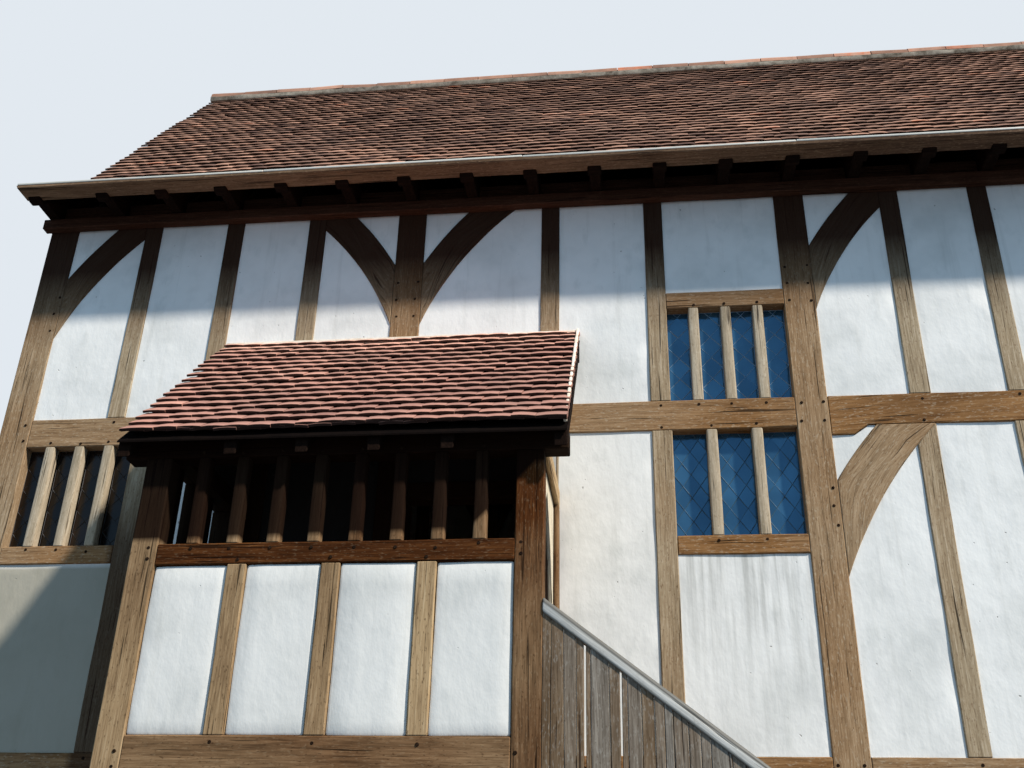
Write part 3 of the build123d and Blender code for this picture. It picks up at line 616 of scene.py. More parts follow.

# %% [markdown]
# ## Limewashed panels
# Between the timbers are wattle and daub panels, plastered by hand and limewashed many times. The wash is
# cloudy white, with grey runs where rain comes down and a dirty patch below the hall window's sill. Left of
# the porch the wash is darkened by a painted shadow, and behind it by painted shade. All of that lies in the
# colour, by place, because it follows the building and not the single panel.

# %% Limewash finish
def limewash(name, weathered=0.0):
    """White lime over lime plaster: matt, cloudy, with grey runs of rain and small pits."""
    material, tree = new_material(name)
    place = add(tree, "TexCoord", out="Object")
    x, y, z = (add(tree, "SeparateXYZ", place, out=axis) for axis in "XYZ")
    window_middle = (windows["lower"][0][0] + windows["lower"][1][0]) / 2
    sill_drip, painted_shadow_left_of_porch_top = 4.25, 4.2

    def lime_noise(scale, detail):
        return stretched_noise(tree, place, scale, detail, 0.6)

    clouds = lime_noise((1.3, 1.3, 1.3), 4.0)
    trowel = lime_noise((6, 6, 3.5), 4.0)
    white = add(tree, "ValToRGB", clouds, stops=((0.3, "#dddeda"), (0.5, "#efefeb"), (0.7, "#f6f6f2")))
    runs = add(tree, "MapRange", lime_noise((13, 13, 0.8), 5.0), 0.56, 0.78, 0.0, 0.26)
    thin_spots = add(tree, "MapRange", trowel, 0.56, 0.72, 0.0, 0.3)
    # A painted shadow: the wall left of the porch, below its roof, is darkened.
    painted_shadow_left_of_porch = times(
        tree,
        add(tree, "MapRange", x, -4.8, -4.7, 0.75, 0.0),
        add(tree, "MapRange", z, painted_shadow_left_of_porch_top, painted_shadow_left_of_porch_top + 0.05, 1.0, 0.0),
        add(tree, "MapRange", y, 0.2, 0.3, 1.0, 0.0),
    )
    drips = times(
        tree,
        add(tree, "MapRange", lime_noise((20, 20, 0.9), 5.0), 0.44, 0.66, 0.0, 0.55),
        add(tree, "MapRange", away_from(tree, x, window_middle), 0.40, 0.52, 1.0, 0.0),
        add(tree, "MapRange", z, 2.9, sill_drip - 0.01),
        add(tree, "MapRange", z, sill_drip, sill_drip + 0.05, 1.0, 0.0),
    )
    pits = add(tree, "MapRange", lime_noise((26, 26, 26), 1.0), 0.785, 0.82, 0.0, 0.6)
    # Behind the porch the wash is painted near black: painted shade inside the porch.
    colour = layered(
        tree, white,
        (weathered, "#b3afa2"), (runs, "#a9aaa2"), (thin_spots, "#c5c8c4"),
        (behind_porch(tree, x, y, z), "#1c130e"), (painted_shadow_left_of_porch, "#8f866b"), (drips, "#8f9089"), (pits, "#6d675c"),
    )
    relief = add(tree, "Math", trowel, pits, operation="SUBTRACT")
    close_finish(tree, colour, relief, 0.4, 0.02, {"Roughness": 0.92, "IOR": 1.5, "Specular IOR Level": 0.2})
    return material


finishes["limewash"] = limewash("limewash")
# The ends take a greyer wash: a painted shade, because the lamp falls on the right end more strongly than on
# the front.
finishes["end_limewash"] = limewash("limewash of the ends", 0.55)
finishes["porch_limewash"] = limewash("limewash of the porch", 0.22)
panel_finish = {"end_plaster": "end_limewash", "porch_plaster": "porch_limewash"}

# %% [markdown]
# The panels are never flat: the trowel leaves slow waves, and the edges are rounded where the plaster was
# pressed against the oak. So each panel's rim is rounded by a bevel, the panel is cut by a coarse grid, and
# the faces are pushed by broad noise. A subdivision would round the corners off, and the grid keeps them.

# %% Shape the panels
trowel_waves = waves("trowel waves", 0.38)
grid_step = 0.17
thinnest_cut = 0.3
panel_rounding = {"front_plaster": 0.011, "rear_plaster": 0.011, "end_plaster": 0.011, "porch_plaster": 0.02}

for node, rounding in panel_rounding.items():
    piece = copy_of(node, node + "_panels")
    round_edges(piece, rounding, segments=2, sharper_than=40)
    low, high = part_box(node)
    for axis in range(3):
        if high[axis] - low[axis] < thinnest_cut:
            continue
        normal = [float(axis == i) for i in range(3)]
        for place in np.arange(low[axis] + grid_step / 2, high[axis], grid_step):
            open_edit(piece)
            bpy.ops.mesh.bisect(plane_co=[n * place for n in normal], plane_no=normal)
            close_edit()
    push_about(piece, trowel_waves, 0.012)
    settle(piece, "limewash", finishes[panel_finish.get(node, "limewash")], node)

# %% [markdown]
# ## Fired clay
# Handmade plain tiles come out of the kiln from orange to plum brown, then darken with lichen. Each tile
# carries a "tone" number that picks its place on the ramp of fired colours. Faces that look down are painted
# near black, a painted shade.

# %% Clay finishes
def clay(name, fired, grime, grime_share):
    """Handmade clay: fired colours picked by each tile's tone, with sandy pits, grime and lichen."""
    material, tree = new_material(name)
    place = add(tree, "TexCoord", out="Object")
    tone = add(tree, "Attribute", attribute_name="tone", out="Fac")
    clouds, lichen, sand, grit = (
        add(tree, "TexNoise", inputs={"Vector": place, "Scale": scale, "Detail": detail, "Roughness": 0.65})
        for scale, detail in ((9.0, 3.0), (1.6, 5.0), (34.0, 2.0), (70.0, 3.0))
    )
    share = add(tree, "Math", clouds, 0.5, -0.25, operation="MULTIPLY_ADD")
    share = add(tree, "Math", share, tone, operation="ADD", use_clamp=True)
    facing = add(tree, "SeparateXYZ", add(tree, "NewGeometry", out="Normal"), out="Z")
    colour = layered(
        tree, add(tree, "ValToRGB", share, stops=fired),
        (add(tree, "MapRange", lichen, 0.42, 0.68, 0.0, grime_share), grime),
        (add(tree, "MapRange", sand, 0.66, 0.72, 0.0, 0.4), "#a89c8a"),
        # Painted shade: faces that look down are painted near black.
        (add(tree, "MapRange", facing, -0.25, 0.15, 0.93, 0.0), "#0c0806"),
    )
    close_finish(tree, colour, grit, 0.35, 0.003, {"Roughness": 0.88, "IOR": 1.5, "Specular IOR Level": 0.1})
    return material


finishes["roof_tiles"] = clay(
    "old clay tiles",
    ((0.0, "#64493f"), (0.3, "#936e5c"), (0.6, "#b2866f"), (0.85, "#cf9f86"), (1.0, "#cd7753")),
    "#6c564b", 0.65,
)
finishes["porch_tiles"] = clay(
    "red clay tiles",
    ((0.0, "#835d53"), (0.35, "#ae7f71"), (0.75, "#d29b87"), (1.0, "#ffc4aa")),
    "#8c6e62", 0.5,
)

# %% [markdown]
# Lime mortar beds the ridge and fills the edges of the porch roof. It is cream where it is new, and grey
# with lichen where it is old. The same gritty finish, darker, does for the torching under the tiles.

# %% Mortar finish
def mortar(name, pale, dark):
    """Lime and sand: cloudy from a dark to a pale tone, with coarse grit."""
    material, tree = new_material(name)
    place = add(tree, "TexCoord", out="Object")
    clouds = add(tree, "TexNoise", inputs={"Vector": place, "Scale": 7.0, "Detail": 6.0, "Roughness": 0.7})
    grit = add(tree, "TexNoise", inputs={"Vector": place, "Scale": 60.0, "Detail": 2.0})
    colour = add(tree, "ValToRGB", clouds, stops=((0.35, dark), (0.62, pale)))
    close_finish(tree, colour, grit, 0.5, 0.005, {"Roughness": 0.95, "Specular IOR Level": 0.05})
    return material


finishes["ridge_mortar"] = mortar("lime mortar with lichen", "#a39a8b", "#5d554a")
finishes["new_mortar"] = mortar("new lime mortar", "#fbf0df", "#dccbb4")
finishes["torching"] = mortar("laths and torching", "#5a4335", "#38281f")
# Under the porch roof the bed is painted near black: painted shade.
finishes["dark_torching"] = mortar("smoked laths and torching", "#120b08", "#0a0605")

# %% [markdown]
# ## Tiled slopes
# One tile is modelled: a slab of clay, a touch arched across its width, with a worn tail. It is laid in
# broken bond, course over course, every 121 mm up the slope. Real courses wander, tails lift and a few
# tiles slip, and that is what draws the dark ragged lines of an old roof. An Array modifier would lay them
# like a machine, so each tile has its own matrix, and all copies are joined in one mesh a slope.

# %% One clay tile
tile_gauge = 0.121
tile_width, tile_length, tile_thickness = 0.165, 0.185, 0.0145
tile_joint = 0.002
tile_arch = 0.003
tail_wear = 0.0018

tile = start_from(bpy.ops.mesh.primitive_cube_add, "tile_pattern", size=1)
open_edit(tile)
bpy.ops.transform.resize(value=(tile_width, tile_length, tile_thickness))
bpy.ops.transform.translate(value=(0, tile_length / 2, -tile_thickness / 2))
close_edit()
ends = np.array([edge.vertices[:] for edge in tile.data.edges])
places = corners_of(tile)
across = np.abs(places[ends[:, 0]] - places[ends[:, 1]])[:, 0] > tile_width / 2
open_edit(tile, "EDGE", across)
bpy.ops.mesh.subdivide(number_cuts=2)
close_edit()
open_edit(tile, "VERT", np.abs(corners_of(tile)[:, 0]) < tile_width / 4)
bpy.ops.transform.translate(value=(0, 0, tile_arch))
close_edit()
ends = np.array([edge.vertices[:] for edge in tile.data.edges])
places = corners_of(tile)[ends]
at_tail = (places[:, :, 1] < 0.001).all(1) & (places[:, :, 2] > -0.005).all(1)
open_edit(tile, "EDGE", at_tail)
bpy.ops.mesh.bevel(offset=tail_wear, segments=1)
close_edit()
print("tile", len(tile.data.polygons), "faces")


# %% Copies of a pattern in one mesh
def copies(name, pattern, places, tones=None, head_shade=0.0):
    """One mesh of many copies of a pattern, each placed by its matrix, with a tone for each copy.

    The head shade is how much the tone loses for each metre along the pattern's own Y. On tiles it is a
    painted shade, darker towards each head under the course above."""
    corners = corners_of(pattern)
    faces = [list(face.vertices) for face in pattern.data.polygons]
    matrices = np.array(places)
    moved = np.einsum("nij,vj->nvi", matrices[:, :3, :3], corners) + matrices[:, None, :3, 3]
    mesh = bpy.data.meshes.new(name)
    mesh.from_pydata(moved.reshape(-1, 3).tolist(), [],
                     [[v + i * len(corners) for v in face] for i in range(len(places)) for face in faces])
    piece = bpy.data.objects.new(name, mesh)
    bpy.context.scene.collection.objects.link(piece)
    if tones is not None:
        head_shaded = np.repeat(tones, len(corners)) - head_shade * np.tile(corners[:, 1], len(places))
        mark(piece, "tone", "FLOAT", head_shaded)
    return piece


# %% [markdown]
# A slope is a profile of points from the eave to the ridge, seen from the end of the house. The courses
# climb it at their gauge, and over the sprockets, where the roof turns flatter, the angle changes little by
# little.

# %% Where each course starts
def courses(profile, gauge):
    """The start of each course up a slope: its place in Y and Z, and the angle of the slope there."""
    bend_reach = 0.2
    points = np.array(profile)
    runs = np.linalg.norm(np.diff(points, axis=0), axis=1)
    angles = np.arctan2(*np.diff(points, axis=0).T[::-1])
    along = np.concatenate([[0], runs.cumsum()])
    for distance in np.arange(0, along[-1] - gauge / 3, gauge):
        y, z = (np.interp(distance, along, points[:, i]) for i in (0, 1))
        angle = angles[0]
        if len(angles) > 1:
            angle = np.interp(distance, [along[1] - bend_reach, along[1] + bend_reach], angles[:2])
        yield y, z, angle


# %% [markdown]
# Each tile leans back by its tip, so that its tail stands clear of the course below. Four things make a row
# uneven, and all four are small: a slow wander up and down, a slow heave in and out, a jitter
# for each tile, and now and then one that slipped by 14 to 18 mm.

# %% Laying the courses
slip_chance, slip = 0.02, 0.012
narrowest_rest, verge_share, widest_last, stoutest = 0.03, 1.5, 1.35, 1.35


def lay_tiles(name, profile, left, right, slot, node, seed, tip, uneven, variety, mirror=None, red=0.0):
    """Lays broken bond tiles up a slope. A mirror is the Y about which the slope is turned to the rear."""
    random = np.random.default_rng(seed)
    rows = list(courses(profile, tile_gauge))
    rows.insert(0, rows[0])                       # the eave has a doubled course
    stout = min(stoutest, 0.95 * tile_gauge * math.sin(tip) / tile_thickness)
    matrices, tones = [], []
    for course, (y, z, angle) in enumerate(rows):
        sunk = tile_thickness if course == 0 else 0.0
        up_slope = Vector((0, math.cos(angle), math.sin(angle)))
        outward = Vector((0, -math.sin(angle), math.cos(angle)))
        x = left + random.uniform(0, 0.012)
        while x < right - narrowest_rest:
            at_verge = x < left + 0.02 and course % 2
            width = tile_width * (verge_share if at_verge else 1.0) * random.uniform(0.97, 1.03)
            width = right - x if right - x < width * widest_last else width
            middle = x + width / 2
            drift = 0.005 * math.sin(middle * 2.3 + course * 0.7 + seed)
            wander = uneven * (drift + random.normal(0, 0.0025))
            wander -= slip * uneven if random.random() < slip_chance else 0.0
            heave = 0.005 * math.sin(middle * 1.9 + course * 0.31)
            heave += 0.003 * math.sin(middle * 5.1 - course * 0.9)
            lift = heave + uneven * random.uniform(-0.001, 0.003) - sunk
            slope = Matrix.Rotation(angle - tip + uneven * random.normal(0, 0.006), 4, "X")
            skew = Matrix.Rotation(uneven * random.normal(0, 0.007), 4, "Z")
            skew = skew @ Matrix.Rotation(uneven * random.normal(0, 0.010), 4, "Y")
            stretch = Matrix.Diagonal(
                ((width - tile_joint) / tile_width, 1, stout * random.uniform(0.92, 1.12), 1))
            place = Vector((middle, y, z)) + up_slope * wander + outward * lift
            matrices.append(Matrix.Translation(place) @ slope @ skew @ stretch)
            patch = 0.5 + 0.28 * math.sin(middle * 0.8 + 1.7 * math.sin(course * 0.21 + seed))
            fresh = red * max(0, course + 5 - len(rows))       # the top courses of the porch are newer
            tone = random.normal(0.52 + 0.3 * (patch - 0.5) + red + fresh, variety)
            tones.append(min(1, max(0, tone)))
            x += width
    if mirror is not None:
        turned = Matrix.Translation((0, 2 * mirror, 0)) @ Matrix.Diagonal((1, -1, 1, 1))
        matrices = [turned @ m for m in matrices]
    # Each tile is painted darker towards its head: painted shade under the course above.
    piece = copies(name, tile, matrices, tones, 2.5)
    if mirror is not None:
        open_edit(piece)
        bpy.ops.mesh.normals_make_consistent(inside=False)
        close_edit()
    settle(piece, slot, finishes[slot], node)
    print(name, len(matrices), "tiles in", len(rows), "courses")


# %% Lay the three slopes
roof_low, roof_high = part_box("front_roof")
porch_low, porch_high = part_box("porch_roof")
ridge_y = roof_high.y
tile_top_at_face, main_rise = 7.902, 1.3465
bend_y, eave_top = 0.270, 7.725
porch_eave_top, porch_head_stand = 4.7105, 0.01
main_tip, porch_tip = math.radians(8.6), math.radians(11.3)
main_profile = [
    (roof_low.y, eave_top),
    (bend_y, tile_top_at_face + main_rise * bend_y),
    (ridge_y, tile_top_at_face + main_rise * ridge_y),
]
porch_profile = [(porch_low.y, porch_eave_top), (porch_high.y, porch_high.z + porch_head_stand)]

for name, node, seed, mirror in (
    ("front_tiles", "front_roof", 3, None),
    ("rear_tiles", "rear_roof", 5, ridge_y),
):
    lay_tiles(name, main_profile, roof_low.x, roof_high.x, "roof_tiles", node, seed, main_tip,
              uneven=1.2, variety=0.18, mirror=mirror)
lay_tiles("porch_tiles", porch_profile, porch_low.x, porch_high.x, "porch_tiles", "porch_roof", 8, porch_tip,
          uneven=1.5, variety=0.07, red=0.12)
bpy.data.objects.remove(tile)

# %% [markdown]
# Under the tiles lie laths and torching. A copy of each roof solid with its top let down makes that bed, so
# that nothing shows through between the tails of the tiles.

# %% Beds under the tiles
for node, drop, slot, finish in (
    ("front_roof", 0.085, "roof_tiles", "torching"),
    ("rear_roof", 0.085, "roof_tiles", "torching"),
    ("porch_roof", 0.1, "porch_tiles", "dark_torching"),
):
    piece = copy_of(node, node + "_bed")
    open_edit(piece, "FACE", [face.normal.z > 0.3 for face in piece.data.polygons])
    bpy.ops.transform.translate(value=(0, 0, -drop))
    close_edit()
    settle(piece, slot, finishes[finish], node)

# %% [markdown]
# ## Ridge
# The ridge is capped with half round clay tiles, about 450 mm long, bedded in lime mortar. From below the
# bedding shows as a pale ragged line under a row of dull red humps. One cap is a cylinder with its lower
# part cut away and given a wall by Solidify, and it is laid end to end with small tilts.

# %% One ridge tile and its row
cap_length, cap_radius, cap_wall = 0.45, 0.118, 0.016
cap_joint, cap_cut, cap_sway = 0.008, -0.035, 0.012
ridge_low, ridge_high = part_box("ridge")

cap = start_from(bpy.ops.mesh.primitive_cylinder_add, "cap_pattern", vertices=14, radius=cap_radius,
                 depth=cap_length - cap_joint, rotation=(0, math.pi / 2, 0), end_fill_type="NOTHING")
keep_in_mesh(cap)
open_edit(cap)
bpy.ops.mesh.bisect(plane_co=(0, 0, cap_cut), plane_no=(0, 0, 1), clear_inner=True)
close_edit()
open_edit(cap)
bpy.ops.mesh.normals_make_consistent(inside=False)
close_edit()
shape(cap, "SOLIDIFY", thickness=cap_wall, offset=-1)

random = np.random.default_rng(21)
cap_matrices, cap_tones = [], []
for middle in np.arange(ridge_low.x + cap_length / 2, ridge_high.x, cap_length):
    middle = min(middle, ridge_high.x - cap_length / 2)
    tilt = Matrix.Rotation(random.normal(0, cap_sway), 4, "Y")
    tilt = tilt @ Matrix.Rotation(random.normal(0, cap_sway), 4, "Z")
    place = Vector((middle, ridge_y, ridge_high.z - cap_radius - 0.006 + random.normal(0, 0.003)))
    cap_matrices.append(Matrix.Translation(place) @ tilt)
    cap_tones.append(random.uniform(0.35, 0.95))
caps = copies("ridge_tiles", cap, cap_matrices, cap_tones)
settle(caps, "roof_tiles", finishes["roof_tiles"], "ridge")
bpy.data.objects.remove(cap)

# %% [markdown]
# Mortar fillets are long ragged bars: a cube is stretched to length, cut into many slices along its length
# and pushed in and out by noise, so that its edge wanders as a trowelled edge does.

# %% Mortar fillets
ragged = waves("ragged edge", 0.09)


def fillet(name, start, end, width, height, finish, node, rough=0.02):
    """A ragged bar of mortar from start to end, with its level width and its height."""
    start, end = Vector(start), Vector(end)
    bar = start_from(bpy.ops.mesh.primitive_cube_add, name, size=1)
    lean = (end - start).to_track_quat("X", "Z").to_matrix().to_4x4()
    size = Matrix.Diagonal(((end - start).length, width, height, 1))
    bar.matrix_world = Matrix.Translation((start + end) / 2) @ lean @ size
    keep_in_mesh(bar)
    divide_long(bar, 0.25)
    round_edges(bar, min(width, height) * 0.3, segments=2)
    divide_long(bar, 0.12)
    push_about(bar, ragged, rough)
    settle(bar, "ridge_mortar", finishes[finish], node)


bedding_out, bedding_down = 0.117, 0.058
for side, name in ((-1, "ridge_bedding_front"), (1, "ridge_bedding_rear")):
    y, z = ridge_y + side * bedding_out, ridge_high.z - cap_radius - bedding_down
    fillet(name, (ridge_low.x + 0.01, y, z), (ridge_high.x - 0.01, y, z), 0.045, 0.075,
           "ridge_mortar", "ridge")
top_y, top_z = porch_high.y - 0.02, porch_high.z - 0.0525
fillet("porch_top_fillet", (porch_low.x + 0.01, top_y, top_z), (porch_high.x - 0.01, top_y, top_z),
       0.03, 0.075, "new_mortar", "porch_roof", 0.008)
verge_x = porch_high.x - 0.014
verge_sunk = 0.022
fillet("porch_verge_fillet", (verge_x, porch_low.y + 0.03, porch_profile[0][1] - verge_sunk),
       (verge_x, porch_high.y - 0.02, porch_profile[1][1] - verge_sunk), 0.022, 0.034,
       "new_mortar", "porch_roof", 0.008)

# %% [markdown]
# ## Leaded windows
# The lights between the mullions hold small diamond panes, called quarries, in lead cames. A light is a
# plane cut along both sets of diagonals; its faces are the quarries, and the Wireframe modifier turns the
# cuts into cames 9 mm wide. Old panes never lie in one plane, so each is tipped by about a degree.

# %% Glass and lead finishes
def smooth_finish(name, deep, pale, roughness, metallic, ior):
    """A smooth finish whose colour drifts slowly between two colours."""
    material, tree = new_material(name)
    place = add(tree, "TexCoord", out="Object")
    tone = add(tree, "Attribute", attribute_name="tone", out="Fac")
    drift = add(tree, "TexNoise", inputs={"Vector": place, "Scale": 3.0, "Detail": 3.0})
    ripple = add(tree, "TexNoise", inputs={"Vector": place, "Scale": 22.0, "Detail": 1.0})
    share = add(tree, "Math", tone, 0.35, drift, operation="MULTIPLY_ADD", use_clamp=True)
    colour = add(tree, "ValToRGB", share, stops=((0.35, deep), (0.8, pale)))
    close_finish(tree, colour, ripple, 0.12, 0.01, {"Roughness": roughness, "Metallic": metallic, "IOR": ior})
    return material


# The glass's blue is partly a real reflection of the blue fill through its metallic share and partly a
# painted reflection in its base colour.
finishes["leaded_glass"] = smooth_finish("old window glass", "#3c6684", "#4c7c9c", 0.14, 0.6, 1.45)
finishes["dark_glass"] = smooth_finish("window glass painted dark", "#110b08", "#2a1d16", 0.2, 0.0, 1.4)
finishes["lead"] = smooth_finish("weathered lead", "#6b8aa6", "#84a2bd", 0.6, 0.0, 1.5)
finishes["dull_lead"] = smooth_finish("dull lead", "#35566c", "#42667e", 0.6, 0.0, 1.5)
finishes["dark_lead"] = smooth_finish("dark lead", "#1d1a1a", "#2b2827", 0.6, 0.0, 1.5)
# The corner window's glass and cames are painted dark: painted shade in the window beside the porch.
came_finish = {"lower": "dull_lead", "corner": "dark_lead"}
glass_finish = {"corner": "dark_glass"}

# %% One light cut into quarries
quarry_width, quarry_height = 0.178, 0.195
first_cut = 0.05
cuts_each_way = 12


def cut_light(start, stop, low, high, glass_y):
    """A plane between two mullions, cut along both diagonals of its quarries."""
    light = start_from(bpy.ops.mesh.primitive_plane_add, "light", size=1, rotation=(math.pi / 2, 0, 0))
    middle = (start + stop) / 2
    light.scale = (stop - start, high - low, 1)
    light.location = (middle, glass_y, (low + high) / 2)
    keep_in_mesh(light)
    columns = max(1, round((stop - start) / quarry_width))
    wide = (stop - start) / columns
    for slant in (-1, 1):
        across = Vector((quarry_height, 0, slant * wide)).normalized()
        for step in range(-cuts_each_way, cuts_each_way + 1):
            level = low + first_cut + step * quarry_height
            for shift in range(columns):
                open_edit(light)
                bpy.ops.mesh.bisect(plane_co=(middle + (shift - (columns - 1) / 2) * wide, 0, level),
                                    plane_no=across)
                close_edit()
    return light


# %% Quarries and cames
came_width, pane_thickness, glass_stand, pane_tip = 0.009, 0.003, 0.004, 0.02
mullion_boxes = part_boxes("window_mullions")
random = np.random.default_rng(31)
for name, (low, high) in windows.items():
    in_front = low[1] < house_middle
    glass_y = low[1] - glass_stand if in_front else high[1] + glass_stand
    between = sorted((a[0], b[0]) for a, b in mullion_boxes
                     if low[0] < a[0] < high[0] and abs(a[2] - low[2]) < 0.02
                     and (a[1] < house_middle) == in_front)
    starts = [low[0]] + [b for _, b in between]
    stops = [a for a, _ in between] + [high[0]]
    lights = [cut_light(start, stop, low[2], high[2], glass_y) for start, stop in zip(starts, stops)]
    glazing = joined(lights, "quarries_" + name)
    cames = bpy.data.objects.new("cames_" + name, glazing.data.copy())
    bpy.context.scene.collection.objects.link(cames)
    shape(cames, "WIREFRAME", thickness=came_width, use_even_offset=True, use_boundary=True, use_replace=True)
    settle(cames, "leaded_glass", finishes[came_finish.get(name, "lead")], "window_glass")
    open_edit(glazing)
    bpy.ops.mesh.edge_split(type="EDGE")
    close_edit()
    places, part = corners_of(glazing), loose_parts(glazing)
    tones = np.zeros(len(places))
    for number in np.unique(part):
        own = np.flatnonzero(part == number)
        away = places[own] - places[own].mean(0)
        places[own, 1] += away[:, 0] * random.normal(0, pane_tip) + away[:, 2] * random.normal(0, pane_tip)
        tones[own] = random.uniform(-0.5, 0.5)
    glazing.data.vertices.foreach_set("co", places.ravel())
    mark(glazing, "tone", "FLOAT", tones)
    shape(glazing, "SOLIDIFY", thickness=pane_thickness, offset=0)
    settle(glazing, "leaded_glass", finishes[glass_finish.get(name, "leaded_glass")], "window_glass")

# %% [markdown]
# ## Pegs
# Every joint of the frame is pinned by oak pegs about 25 mm across, and their ends show as dark dots: one
# over each stud and mullion, and pairs where a rail or a brace meets a post. One peg is modelled, as a
# bevelled cylinder, and copied. Painted dots would vanish from the side, where a real peg stands a little
# proud.

# %% One peg
peg_radius, peg_length = 0.0125, 0.03
finishes["pegs"] = oak("peg end grain", ("#120b07", "#22160d", "#38261a"), ("#1a120c", "#2a1d13", "#403024"))
peg = start_from(bpy.ops.mesh.primitive_cylinder_add, "peg_pattern", vertices=10, radius=peg_radius,
                 depth=peg_length, rotation=(math.pi / 2, 0, 0))
keep_in_mesh(peg)
round_edges(peg, 0.003)


def pin(name, spots, slot, seed):
    """One mesh of pegs. A spot is a place on a timber's face and the way that the face looks."""
    random = np.random.default_rng(seed)
    matrices = []
    for spot, way in spots:
        facing = Vector(way).to_track_quat("Y", "Z").to_matrix().to_4x4()
        jitter = Vector((random.normal(0, 0.006) * (1 - abs(way[0])),
                         random.normal(0, 0.006) * (1 - abs(way[1])), random.normal(0, 0.006)))
        deep = Vector(way) * (0.013 - random.uniform(0, 0.004))
        matrices.append(Matrix.Translation(Vector(spot) + jitter - deep) @ facing)
    piece = copies(name, peg, matrices)
    lay_grain(piece, 0.5, seed)
    settle(piece, slot, finishes["pegs"])
    print(name, len(spots), "pegs")


def stud_spots(node, axis, face, way, least=0.5):
    """A spot above and below every upright of a node that stands in one face of the house."""
    peg_above, peg_below = 0.03, 0.04
    found = []
    for low, high in part_boxes(node):
        if high[2] - low[2] < least or abs((low if way[axis] < 0 else high)[axis] - face) > 0.03:
            continue
        spot = (low + high) / 2
        spot[axis] = face
        for level in (high[2] + peg_above, low[2] - peg_below):
            found.append(((spot[0], spot[1], level), way))
    return found


# %% [markdown]
# On the posts the pegs stand near both edges, at the levels of the middle rail, the floor rail and the high
# braces. The outer edge of a corner post has none, because no timber meets it there.

# %% Pegs of the main frame
front_way, rear_way = (0, -1, 0), (0, 1, 0)
middle_rail_pegs, floor_rail_pegs, high_brace_pegs = (5.485, 5.335), (2.73, 2.59), (6.775, 6.6, 6.43)
low_brace_pegs, low_brace_peg_x = (4.75, 4.6, 4.45), 0.085
peg_from_edge = 0.042
inner_posts_reach = 6

spots = []
for face, way in ((front_face, front_way), (rear_face, rear_way)):
    for node in (("front_studs" if way == front_way else "rear_studs"), "window_mullions"):
        spots += stud_spots(node, 1, face, way)
for low, high in part_boxes("main_posts"):
    for face, way, outer in ((front_face, front_way, low[1]), (rear_face, rear_way, high[1])):
        if abs(outer - face) > 0.01:
            continue
        middle, half = (low[0] + high[0]) / 2, (high[0] - low[0]) / 2 - peg_from_edge
        for side in (-1, 1):
            if side * middle > inner_posts_reach:
                continue
            for level in middle_rail_pegs + floor_rail_pegs + high_brace_pegs:
                spots.append(((middle + side * half, face, level), way))
for level in low_brace_pegs:
    spots.append(((low_brace_peg_x, front_face, level), front_way))
for side in (-1, 1):
    spots += stud_spots("end_studs", 0, side * end_face, (side, 0, 0))
pin("frame_pegs", spots, "oak_frame", 41)

# %% Pegs of the porch
porch_post_pegs_x, porch_peg_levels = (-4.62, -2.14), (3.885, 3.815, 2.6, 2.5)
shortest_mullion = 0.3
spots = stud_spots("porch_studs", 1, porch_face, front_way)
spots += stud_spots("porch_mullions", 1, porch_face, front_way, shortest_mullion)
for x in porch_post_pegs_x:
    for level in porch_peg_levels:
        spots.append(((x, porch_face, level), front_way))
pin("porch_pegs", spots, "oak_porch", 43)
bpy.data.objects.remove(peg)

# %% [markdown]
# ## The boards and rail of the stair
# The side of the stair is closed by upright boards of uneven width with open joints, and a heavy rounded
# handrail caps them. The solid in the frame has the outline of all the boards together, so each board is a
# copy of it that is cut at its own two joints by bisecting. Two joints are wide enough to see through.

# %% Stair boards
joints = [-1.952, -1.863, -1.793, -1.744, -1.704, -1.590, -1.531, -1.493, -1.407, -1.333, -1.280, -1.229,
          -1.142, -1.071, -1.021]
wide_joints = {-1.744: 0.011, -1.531: 0.010}
joint_slope = 0.09              # the other joints are open in front and closed behind
last_joint = 1.2
board_lean = 0.004
random = np.random.default_rng(51)
while joints[-1] < last_joint:
    joints.append(joints[-1] + random.uniform(0.065, 0.125))
boards_low, boards_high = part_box("stair_boards")
edges = [boards_low.x - 0.01] + joints + [boards_high.x + 0.01]
leans = random.normal(0, board_lean, len(edges))
boards = []
for number, ends in enumerate(zip(edges, edges[1:])):
    board = copy_of("stair_boards", "board")
    for side, place, lean in zip((1, -1), ends, leans[number:]):
        half_gap = wide_joints.get(place, 0.0) / 2
        open_edit(board)
        bpy.ops.mesh.bisect(plane_co=(place + side * half_gap, boards_high.y, 2.0),
                            plane_no=(side, joint_slope, side * lean), use_fill=True, clear_inner=True)
        close_edit()
    open_edit(board)
    bpy.ops.transform.translate(value=(0, random.uniform(-0.002, 0.004), 0))
    close_edit()
    boards.append(board)
boarding = joined(boards, "stair_boards_oak")
round_edges(boarding, 0.003, sharper_than=35)
divide_long(boarding, 0.5)
lay_grain(boarding, 0.5, 52, 0.5)
settle(boarding, "oak_weathered", finishes["oak_weathered"], "stair_boards")

# %% [markdown]
# The handrail is the most handled timber of the house: worn round, silvered and polished by hands, so that
# it shines along its middle. Its long edges get a bevel of two segments, and its upper and lower edge are
# darker, by the height of a point over the rail's own slope.

# %% Handrail
rail_low, rail_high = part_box("handrail")
rail_height = 0.096
rail_fall = (rail_high.z - rail_low.z - rail_height) / (rail_high.x - rail_low.x)


def rail_crown(tree, x, y, z):
    """The upper and lower edge of the sloping rail, darker than its middle."""
    level = add(tree, "Math", x, rail_fall, z, operation="MULTIPLY_ADD")
    top = rail_high.z + rail_low.x * rail_fall
    return largest(tree, add(tree, "MapRange", level, top - 0.045, top - 0.03, 0.0, 0.86),
                   add(tree, "MapRange", level, top - 0.088, top - 0.074, 0.5, 0.0))


